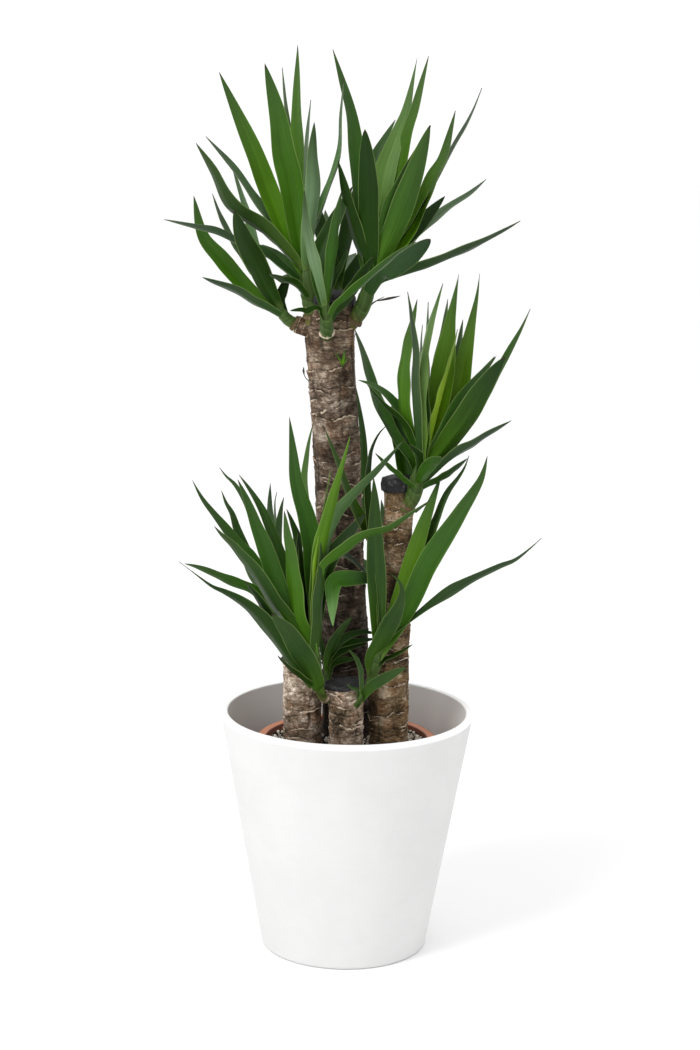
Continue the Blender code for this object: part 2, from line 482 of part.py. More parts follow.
def make_nursery_pot():
    foot = PLANTER_FLOOR + GAP
    rim = foot + POT_HEIGHT
    skirt = POT_RIM_RADIUS - POT_WALL
    profile = [
        (0, foot),
        (POT_BASE_RADIUS, foot),
        (pot_radius(POT_HEIGHT - POT_WALL, 0), rim - POT_WALL),
        (skirt, rim - POT_WALL),
        (skirt, rim - POT_RIM_DROP),
        (POT_RIM_RADIUS, rim - POT_RIM_DROP),
        (POT_RIM_RADIUS, rim - POT_ROUND),
        (POT_RIM_RADIUS - POT_ROUND, rim),
        (POT_MOUTH_RADIUS + POT_ROUND, rim),
        (POT_MOUTH_RADIUS, rim - POT_ROUND),
        (pot_radius(POT_WALL, POT_WALL), foot + POT_WALL),
        (0, foot + POT_WALL),
    ]
    pot = turned("nursery_pot", profile, material("terracotta_plastic", POT_COLOUR, 0.5))
    drains = []
    for i in range(POT_DRAINS):
        a = tau * (i + 0.5) / POT_DRAINS
        bm = bmesh.new()
        bmesh.ops.create_cone(bm, cap_ends=True, segments=10, radius1=POT_DRAIN_RADIUS,
                              radius2=POT_DRAIN_RADIUS, depth=8 * POT_WALL)
        place = Vector((POT_DRAIN_CIRCLE * cos(a), POT_DRAIN_CIRCLE * sin(a), foot))
        bmesh.ops.translate(bm, verts=bm.verts, vec=place)
        drains.append(put(f"drain_{i}", bm))
    apply_boolean(pot, drains, "DIFFERENCE")


def soil_height(x, y):
    waves = sin(95 * x + 1.0) * cos(83 * y) + 0.6 * sin(170 * y + 60 * x) + 0.5 * cos(140 * x - 0.7)
    return SOIL_LEVEL + SOIL_BUMP * waves / 2


def make_soil():
    foot = PLANTER_FLOOR + POT_WALL + 2 * GAP
    low = pot_radius(POT_WALL + GAP, POT_WALL + GAP)
    high = pot_radius(SOIL_LEVEL - PLANTER_FLOOR, POT_WALL + 2 * GAP)
    radii = [high * share for share in SOIL_RINGS]
    bm = bmesh.new()
    turns = [tau * i / ROUND_SIDES for i in range(ROUND_SIDES)]
    circle = [(cos(a), sin(a)) for a in turns]
    loops = [[bm.verts.new((low * c, low * s, foot)) for c, s in circle]]
    for r in radii:
        edge = r == radii[0]
        heights = [SOIL_LEVEL - SOIL_BUMP if edge else soil_height(r * c, r * s) for c, s in circle]
        loops.append([bm.verts.new((r * c, r * s, z)) for (c, s), z in zip(circle, heights)])
    for inner, outer in zip(loops, loops[1:]):
        for i in range(ROUND_SIDES):
            j = (i + 1) % ROUND_SIDES
            bm.faces.new((inner[i], inner[j], outer[j], outer[i]))
    bm.faces.new(loops[0])
    middle = bm.verts.new((0, 0, soil_height(0, 0)))
    for i in range(ROUND_SIDES):
        bm.faces.new((loops[-1][i], loops[-1][(i + 1) % ROUND_SIDES], middle))
    soil = put("soil", bm, material("potting_soil", SOIL_COLOUR, 0.95))
    holes = []
    for cane in CANES:
        (foot, across, other), (mouth, _, _), along = buried(cane)
        radius = cane.rings[0][2] * CM + GAP / cos(pi / CANE_SIDES)
        rings = [ring(p, across, other, radius, CANE_SIDES) for p in (foot - along * GAP, mouth)]
        holes.append(tube(f"hole_{cane.name}", rings))
    apply_boolean(soil, holes, "DIFFERENCE")


def cane_path(cane):
    return [seen(x, z, cane.depth) for x, z, _ in cane.rings]


def buried(cane):
    """A cane's plain buried stretch: its foot and its top as (centre, across, other), and its direction."""
    path = cane_path(cane)
    along, across, other = frame_at(path, 0)
    mouth = path[0] + along * ((SOIL_LEVEL + CANE_PLAIN_TOP - path[0].z) / along.z)
    foot = path[0] + along * ((SOIL_LEVEL - CANE_DEPTH - path[0].z) / along.z)
    return (foot, across, other), (mouth, across, other), along


def cane_radius(cane, z):
    heights = [p.z for p in cane_path(cane)]
    return float(np.interp(z, heights, [r * CM for _, _, r in cane.rings]))


def make_cane(cane):
    """A cane with a plain buried foot, ring scars and a plain cut top."""
    path = cane_path(cane)
    foot_ring, mouth_ring, _ = buried(cane)
    top = path[-1]
    plain = cane.rings[0][2] * CM
    rings = [ring(*foot_ring, plain, CANE_SIDES), ring(*mouth_ring, plain, CANE_SIDES)]
    visible = [mouth_ring[0]] + [p for p in path if p.z > mouth_ring[0].z + 0.01]
    scars = round((top.z - mouth_ring[0].z) / SCAR_PITCH)
    dense = smooth_path(visible, 2 * scars + 1)
    phase = len(cane.name)
    for i in range(1, 2 * scars - 1):
        _, across, other = frame_at(dense, i)
        along = across.cross(other)
        base = cane_radius(cane, dense[i].z)
        lift = SCAR_HEIGHT if i % 2 else 0.0
        uneven = 0.35 * sin(2.7 * i + phase)
        points = []
        for k in range(CANE_SIDES):
            a = tau * k / CANE_SIDES
            lump = 0.0011 * sin(2 * a + 0.5 * i + phase) + 0.0008 * sin(3 * a - 1.3 * i)
            r = base + lift * (1 + uneven) + lump
            tilt = 0.0022 * sin(a + 1.9 * (i // 2) + phase)
            points.append(dense[i] + across * (r * cos(a)) + other * (r * sin(a)) + along * tilt)
        rings.append(points)
    along, across, other = frame_at(dense, len(dense) - 1)
    end = cane.rings[-1][2] * CM
    shoulder = CAP_THICKNESS + 0.004 + cane.cap * CM * 0.3
    rings.append(ring(top - along * shoulder, across, other, end, CANE_SIDES))
    rings.append(ring(top, across, other, end, CANE_SIDES))
    body = tube(cane.name, rings, material(f"{cane.name}_bark", cane.colour, 0.9))
    if cane.name == "cane_tall":
        stub = [seen(x, z, y) for x, y, z in STUB]
        frames = [frame_at(stub, i) for i in range(2)]
        knob = tube("stub", [ring(p, f[1], f[2], STUB_RADIUS * CM, 10) for p, f in zip(stub, frames)])
        apply_boolean(body, [knob], "UNION")
    cap = make_cap(cane, top, along, across, other, end)
    for piece in (body, cap):
        sockets = [make_stem(shoot, "socket", GAP) for shoot in SHOOTS if shoot.cane == cane.name]
        apply_boolean(piece, sockets, "DIFFERENCE")


def make_cap(cane, top, along, across, other, end):
    """The wax cap: a lumpy lid with a skirt round the cane's cut top."""
    outer = end + CAP_THICKNESS
    height = cane.cap * CM
    skirt = CAP_SKIRT * height

    def lumpy(scale):
        return lambda a: scale * (1 + 0.03 * sin(3 * a + len(cane.name)) + 0.02 * sin(5 * a))

    inner = end + GAP / cos(pi / CANE_SIDES)
    steps = [
        (top + along * GAP, inner),
        (top - along * skirt, inner),
        (top - along * skirt, lumpy(outer)),
        (top + along * 0.1 * height, lumpy(outer * 1.02)),
        (top + along * 0.35 * height, lumpy(outer * 0.9)),
        (top + along * 0.45 * height, lumpy(outer * 0.6)),
    ]
    rings = [ring(p, across, other, r, CANE_SIDES) for p, r in steps]
    which = cane.name.removeprefix("cane_")
    return tube(f"wax_cap_{which}", rings, material(f"wax_{which}", CAP_COLOUR, 0.45))


def make_stem(shoot, name, slack=0.0):
    """The shoot's stem, or with some slack the socket that it stands in."""
    points = [seen(x, z, y) for x, y, z in shoot.stem]
    points[0] -= (points[1] - points[0]).normalized() * slack
    path = smooth_path(points, STEM_SECTIONS + 1)
    low, high = (r * CM for r in shoot.radii)
    rings = []
    for i, p in enumerate(path):
        along = (path[min(i + 1, STEM_SECTIONS)] - path[max(i - 1, 0)]).normalized()
        across = along.cross(Vector((0, 1, 0))).normalized()
        r = low + (high - low) * i / STEM_SECTIONS + slack
        if i == STEM_SECTIONS:
            r *= 0.7
        rings.append(ring(p, across, along.cross(across), r, STEM_SIDES))
    return tube(name, rings)


def blade_width(s):
    """Share of the full width at a share s of the length: narrow at the root, a long taper to a point."""
    if s < WIDEST_AT:
        return ROOT_WIDTH + (1 - ROOT_WIDTH) * sin(pi / 2 * s / WIDEST_AT)
    u = (s - WIDEST_AT) / (1 - WIDEST_AT)
    return (1 - u) ** 0.85 * (1 + 0.35 * u)


def leaf_path(shoot, leaf, rank):
    """The middle line of a leaf, from inside the stem to its tip."""
    stem = smooth_path([seen(x, z, y) for x, y, z in shoot.stem], 9)
    start_z = seen(leaf.points[0][0], leaf.points[0][1], shoot.stem[-1][1]).z
    below = [p for p in stem[3:8] if p.z < start_z - 0.008] or stem[3:4]
    root = below[-1] if rank % 2 else below[max(len(below) - 2, 0)]
    out = seen(leaf.points[0][0], leaf.points[0][1], root.y / CM + leaf.far * ROOT_LEAN) - root
    root = root + out.normalized() * (ROOT_OFFSET * shoot.radii[1] * CM)
    flat = [EYE + (root - EYE) * (-EYE.y / (root.y - EYE.y))]
    flat += [Vector((x * CM, 0, z * CM)) for x, z in leaf.points]
    reach = np.concatenate([[0], np.cumsum([(b - a).length for a, b in zip(flat, flat[1:])])])
    share = reach / reach[-1]
    spots = [root]
    for s, (x, z) in zip(share[1:], leaf.points):
        spots.append(seen(x, z, root.y / CM + leaf.far * s**1.2))
    line = smooth_path(spots, MOST_SECTIONS + 1)
    steps = [b - a for a, b in zip(line, line[1:])]
    bend = sum(a.angle(b) for a, b in zip(steps, steps[1:]))
    sections = min(MOST_SECTIONS, BLADE_SECTIONS + round(bend / BEND_PER_SECTION))
    return smooth_path(spots, sections + 1)


def facing(path, i, axis, seen_share):
    """Unit normal of the blade's upper face: up the shoot, turned so that the seen width is as measured."""
    along = (path[min(i + 1, len(path) - 1)] - path[max(i - 1, 0)]).normalized()
    inward = axis - along * axis.dot(along)
    inward.normalize()
    view = (path[i] - EYE).normalized()
    straight = (view - along * view.dot(along)).normalized()
    side = along.cross(straight)
    share = min(seen_share, 0.98)
    toward = 1 if inward.dot(straight) > 0 else -1
    tilt = 1 if inward.dot(side) > 0 else -1
    return along, straight * (toward * share) + side * (tilt * sqrt(1 - share * share))


def make_blade(shoot, leaf, rank, name):
    """A thin pointed blade, folded along its middle, with two edges, a channel and a keel."""
    path = leaf_path(shoot, leaf, rank)
    length = sum((b - a).length for a, b in zip(path, path[1:]))
    width = max(leaf.width * 1.03, min(shoot.blade, 0.6 + length / CM * 0.1)) * CM
    share = min(1.0, leaf.width * CM / width)
    low, high = (seen(x, z, y) for x, y, z in (shoot.stem[-2], shoot.stem[-1]))
    axis = (high - low).normalized() + Vector((0, 0, 1))
    bm = bmesh.new()
    sections = []
    normal = None
    for i, p in enumerate(path[:-1]):
        along, wanted = facing(path, i, axis, share)
        normal = wanted if normal is None else (normal * 0.6 + wanted * 0.4)
        normal = (normal - along * normal.dot(along)).normalized()
        s = i / (len(path) - 1)
        half = width * blade_width(s) / 2
        fold = BLADE_FOLD * half * (1.9 - 1.5 * s)
        thick = BLADE_ROOT_THICK + (BLADE_THICK - BLADE_ROOT_THICK) * min(1, 4 * s)
        side = along.cross(normal)
        sections.append([
            bm.verts.new(p - side * half + normal * fold),
            bm.verts.new(p + normal * thick * 0.5),
            bm.verts.new(p + side * half + normal * fold),
            bm.verts.new(p - normal * thick * 0.5),
        ])
    tip = bm.verts.new(path[-1])
    for low_ring, high_ring in zip(sections, sections[1:]):
        for edge, mid in BLADE_SIDES:
            bm.faces.new((low_ring[edge], low_ring[mid], high_ring[mid]))
            bm.faces.new((low_ring[edge], high_ring[mid], high_ring[edge]))
    for k in range(4):
        bm.faces.new((sections[-1][k], sections[-1][(k + 1) % 4], tip))
    bm.faces.new(sections[0][:3])
    bm.faces.new((sections[0][2], sections[0][3], sections[0][0]))
    return put(name, bm)


def make_shoot(shoot, finish):
    stem = make_stem(shoot, shoot.name)
    stem.data.materials.append(finish)
    blades = [make_blade(shoot, leaf, i, f"blade_{i}") for i, leaf in enumerate(shoot.leaves)]
    apply_boolean(stem, blades, "UNION", solver="MANIFOLD")
    keep_largest_body(stem)


def main():
    for obj in list(bpy.data.objects):
        bpy.data.objects.remove(obj)
    make_planter()
    make_nursery_pot()
    make_soil()
    for cane in CANES:
        make_cane(cane)
    for shoot in SHOOTS:
        make_shoot(shoot, material(f"{shoot.name}_green", LEAF_COLOUR, 0.45))


main()
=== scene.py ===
"""Looks of the potted yucca: fine leaves, bark, wax caps, soil with perlite and the two pots.

Metres, +Z up, and -Y is the front. Leaves and canes follow the measures that their solids were made from.
"""

from bisect import bisect_right
from math import atan2, cos, exp, pi, radians, sin, sqrt, tau
from typing import NamedTuple

import bmesh
import bpy
import numpy as np
from mathutils import Euler, Matrix, Vector, noise


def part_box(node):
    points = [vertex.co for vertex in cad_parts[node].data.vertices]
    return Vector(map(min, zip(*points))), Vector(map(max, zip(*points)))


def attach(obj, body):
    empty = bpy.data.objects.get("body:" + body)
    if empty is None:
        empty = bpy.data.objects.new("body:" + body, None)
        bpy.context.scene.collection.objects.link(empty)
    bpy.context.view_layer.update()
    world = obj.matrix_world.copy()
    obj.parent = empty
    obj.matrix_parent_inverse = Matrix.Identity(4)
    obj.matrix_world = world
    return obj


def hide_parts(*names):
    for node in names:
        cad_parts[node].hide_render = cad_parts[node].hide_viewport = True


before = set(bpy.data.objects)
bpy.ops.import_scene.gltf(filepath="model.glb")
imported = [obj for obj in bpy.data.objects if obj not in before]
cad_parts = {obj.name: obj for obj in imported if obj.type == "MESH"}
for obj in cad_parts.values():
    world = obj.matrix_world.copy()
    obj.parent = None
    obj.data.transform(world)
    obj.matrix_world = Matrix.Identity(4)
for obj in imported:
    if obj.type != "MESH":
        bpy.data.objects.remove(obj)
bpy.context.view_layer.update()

CM = 0.01

# Camera: the picture is 700 by 1050 points, so the long side of the sensor stands upright
EYE = Vector((0.0, -3.1, 1.232))
CAMERA_PITCH = radians(11.54)
CAMERA_ROLL = radians(0.95)
CAMERA_LENS = 79.35
SENSOR = 36.0

# Planter, from the solid's box
_, PLANTER_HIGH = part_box("planter")
PLANTER_HEIGHT = PLANTER_HIGH[2]
PLANTER_RIM_RADIUS = PLANTER_HIGH[0]
PLANTER_BASE_RADIUS = 0.116
PLANTER_SLOPE = (PLANTER_RIM_RADIUS - PLANTER_BASE_RADIUS) / PLANTER_HEIGHT
PLANTER_WALL = 0.010
PLANTER_FLOOR = 0.012
PLANTER_FOOT = 0.005
LIP_ROUND = 0.0022

# Nursery pot, from the solid's box
POT_LOW, POT_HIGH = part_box("nursery_pot")
POT_RIM_RADIUS = POT_HIGH[0]
POT_RIM_DROP = 0.014
POT_MOUTH_RADIUS = 0.113
POT_BASE_RADIUS = 0.088
POT_WALL = 0.0025
POT_ROUND = 0.0015

# Steps of the two pots: round the axis, round an edge and up a wall
ROUND_STEPS = 144
EDGE_STEPS = 6
WALL_STEPS = 24
POT_EDGE_STEPS = 5
POT_WALL_STEPS = 12

# Soil
SOIL_LEVEL = 0.288
SOIL_LUMP = 0.0035
SOIL_BANK = (0.088, 0.02)
SOIL_BANK_HEIGHT = 0.004
SOIL_BANK_SPREAD = 0.03
SOIL_FOOT = 0.80
SOIL_RINGS = 70
SOIL_STREWN = 0.110
CRUMBS = 420
CRUMB_SIZES = (0.0008, 0.0030)
PERLITE = 900
PERLITE_SIZES = (0.0009, 0.0038)
GRAIN_KINDS = 4

# Canes
CANE_SINK = 0.02
BARK_AROUND = 120
BARK_ROW = 0.0012
BARK_WANDER = (0.0050, 0.0011)
BARK_LUMPS = (0.0018, 0.0008, 0.0004)
CRACK_DEPTH = 0.004
SCAR_GAPS = (0.006, 0.014)
SCAR_SPANS = (1.2, 3.6)
SCAR_DROOP = 0.0045
SCAR_LIP = 0.0017
SCAR_GROOVE = 0.0007
SCAR_TILT = 0.012
SHREDS_PER_SCAR = {"tall": 1, "middle": 2, "left": 4, "front": 3}
SHRED_WIDTHS = (0.0012, 0.0060)
SHRED_HEIGHTS = (0.0008, 0.0026)
SHRED_CURL = 0.0016
CAP_THICKNESS = 0.0025
CAP_AROUND = 72
CAP_ROWS = 40
# A wax cap's side above its skirt: shares of its outer radius and of its height
CAP_SIDE = ((1.03, 0.02), (1.02, 0.13), (1, 0.22), (0.95, 0.32), (0.84, 0.40), (0.64, 0.445), (0.42, 0.45),
            (0.2, 0.45), (0.02, 0.45))
# The short branch that carries the outermost shoot: its ends (x, y, z) as seen and its radius, in cm
KNOB = ((-4.6, 4.6, 86.2), (-7.6, 4.2, 87.3))
KNOB_RADIUS = 1.15
KNOB_AROUND = 28
KNOB_ROWS = 22

# Stems and blades
STEM_AROUND = 36
STEM_ROWS = 60
STEM_SHEATHS = 3.6
COLLAR_AROUND = 40
COLLAR_ROWS = 6
TWIG_AROUND = 8
PATH_STEPS = 12
STEM_SPOTS = 9
LEAFY_SPOTS = slice(3, 8)
BLADE_ACROSS = 10
BLADE_ALONG = 44
BLADE_THICK = 0.0016
BLADE_EDGE = 0.0005
BLADE_FOLD = 0.30
WIDEST_AT = 0.5
ROOT_WIDTH = 0.52
ROOT_OFFSET = 0.5
ROOT_BELOW = 0.022
ROOT_LEAN = 0.5
CLASP_END = 0.2
ROUND_END = 0.16
SEEN_MOST = 0.98
DEPTH_CURVE = 1.2
BLADE_WAVE = 0.07
TONE_PLACES = (0.08, 0.48, 0.92)

# Greens at a leaf's root, middle and tip, by the letter that each leaf has in the table. They hold painted
# light: the bright roots stand for light shining through the leaves, G and H carry a painted grey-green
# sheen,
# W is painted lighter than its shaded leaf, and D and E are painted darker for leaves in shade, as on the
# back shoot
TONES = {
    "D": ((0.016, 0.056, 0.002), (0.011, 0.038, 0.001), (0.010, 0.033, 0.003)),
    "S": ((0.038, 0.094, 0.005), (0.022, 0.058, 0.009), (0.028, 0.062, 0.012)),
    "M": ((0.034, 0.096, 0.006), (0.033, 0.100, 0.009), (0.033, 0.076, 0.016)),
    "B": ((0.110, 0.290, 0.007), (0.056, 0.146, 0.004), (0.036, 0.082, 0.015)),
    "Y": ((0.100, 0.225, 0.006), (0.185, 0.325, 0.018), (0.120, 0.215, 0.024)),
    "L": ((0.130, 0.300, 0.022), (0.130, 0.240, 0.055), (0.046, 0.094, 0.025)),
    "G": ((0.026, 0.090, 0.012), (0.096, 0.190, 0.064), (0.034, 0.072, 0.024)),
    "H": ((0.085, 0.175, 0.050), (0.135, 0.230, 0.112), (0.034, 0.068, 0.020)),
    "R": ((0.100, 0.230, 0.012), (0.110, 0.215, 0.040), (0.070, 0.135, 0.035)),
    "W": ((0.240, 0.480, 0.060), (0.270, 0.460, 0.130), (0.060, 0.120, 0.035)),
    "E": ((0.055, 0.150, 0.004), (0.026, 0.074, 0.003), (0.013, 0.040, 0.006)),
    "P": ((0.046, 0.125, 0.006), (0.075, 0.188, 0.006), (0.092, 0.215, 0.014)),
    "V": ((0.100, 0.225, 0.004), (0.070, 0.160, 0.004), (0.036, 0.080, 0.016)),
    "C": ((0.056, 0.150, 0.007), (0.044, 0.122, 0.005), (0.038, 0.086, 0.016)),
    "N": ((0.060, 0.160, 0.007), (0.031, 0.088, 0.008), (0.032, 0.070, 0.014)),
    "K": ((0.020, 0.062, 0.008), (0.032, 0.068, 0.022), (0.022, 0.048, 0.019)),
    "T": ((0.020, 0.042, 0.012), (0.038, 0.122, 0.006), (0.110, 0.200, 0.060)),
}
STEM_TONE = (0.050, 0.092, 0.020)
STEM_FOOT_TONE = (0.120, 0.085, 0.024)

# How far up a stem's first stretch its dry collar sits, how pale that is, and how brown the stem's foot
COLLAR_PLACE = {"shoot_front": 0.72}
COLLAR_PALE = {"shoot_front": 1.0, "shoot_low_centre": 0.5, "shoot_low_right": 0.55, "shoot_small_right": 0.6}
STEM_BROWN = {"shoot_front": 0.1, "shoot_right": 1.0, "shoot_left": 1.0}

# Dry stalks: points (x, y, z) as seen and radii, in cm
TWIGS = (
    ("twig_top",
     ((0.9, 5.2, 88.9), (2.06, 4.6, 89.83), (2.59, 4.4, 90.32), (3.12, 4.2, 90.68), (4.1, 4.0, 91.21)),
     (0.11, 0.11, 0.11, 0.08, 0.03)),
    ("twig_blade",
     ((3.0, 4.2, 90.6), (3.6, 4.2, 90.72), (4.59, 4.0, 90.95), (5.66, 3.8, 91.19), (6.27, 3.7, 91.35)),
     (0.04, 0.13, 0.18, 0.14, 0.02)),
    ("twig_hook",
     ((-5.0, 5.0, 79.2), (-5.72, 4.8, 79.51), (-6.26, 4.7, 80.02), (-6.5, 4.6, 80.45), (-6.6, 4.6, 80.92),
      (-6.61, 4.6, 81.3), (-6.6, 4.6, 81.5)),
     (0.07, 0.07, 0.06, 0.06, 0.06, 0.17, 0.05)),
    ("twig_middle",
     ((8.9, -1.2, 61.8), (9.7, -1.2, 62.5), (10.2, -1.2, 62.9), (10.8, -1.2, 63.5)),
     (0.12, 0.12, 0.09, 0.02)),
)

# Light and floor; a soft box has its place, target, size and power
WORLD_LIGHT = 1.05
FLOOR_SIZE = 40.0
LIGHTS = (
    ("key", (-1.9, -2.0, 2.9), (0, 0, 0.7), 1.3, 55),
)


class Leaf(NamedTuple):
    """A leaf: its tone, seen width, how far its tip lies behind its root, and points (x, z), in cm.

    A slender leaf tapers early to a long thin tip, and stalk takes off some of its root's width. A leaf with
    a root (x, y, z) of its own starts there, hidden behind other leaves, and not inside the stem.
    """

    tone: str
    width: float
    far: float
    points: tuple
    slender: float = 0.0
    stalk: float = 0.0
    root: tuple = ()


def leaf(tone, width, far, *line, **more):
    """A leaf whose points are given as x and z in turn, from its root to its tip."""
    return Leaf(tone, width, far, tuple(zip(line[::2], line[1::2])), **more)


class Shoot(NamedTuple):
    """A leafy shoot: its cane, stem points (x, y, z), the stem's radii at its two ends and a blade's full
    width, in cm, and its leaves."""

    name: str
    cane: str
    stem: tuple
    radii: tuple
    blade: float
    leaves: tuple


class Scar(NamedTuple):
    """A leaf scar: its height up the cane, the angle it faces, its half span, droop, tear and tone.

    The height and the droop are in metres, and the tone also says which way the scar tilts.
    """

    height: float
    facing: float
    span: float
    droop: float
    torn: float
    tone: float


class Cane(NamedTuple):
    """A cane: its depth y, rings (x, z, radius) from the soil up and its cap's height, in cm, and its bark.

    The skirt is how far its cap hangs down round it, as a share of the cap's height.
    """

    name: str
    depth: float
    rings: tuple
    cap: float
    bark: str
    skirt: float = 0.17


# Every x and z below is measured on the plane y = 0, as seen from the eye, and then moved to its depth.
CANES = (
    Cane("tall", 5.0, ((0.05, 30, 3.5), (-0.25, 39.5, 3.3), (-1.35, 57.7, 3.2), (-1.95, 70, 3.2),
         (-2.9, 82, 3.2), (-3.15, 86.5, 3.4), (-3.1, 90.6, 3.1)), 2.9, "grey_brown"),
    Cane("middle", -0.5, ((5.85, 30, 2.7), (5.8, 36, 2.65), (6.3, 49.5, 2.2), (6.6, 61.2, 1.95),
         (6.45, 65.8, 2.0)), 2.3, "tan_brown", 0.40),
    Cane("left", -1.0, ((-6.1, 29.3, 2.65), (-6.25, 35, 2.6), (-6.3, 41.0, 2.5)), 0.9, "silver_brown", 0.06),
    Cane("front", -5.5, ((-0.1, 29.3, 2.25), (-0.1, 33.5, 2.3), (-0.35, 37.3, 2.55)), 1.3, "silver_brown"),
)

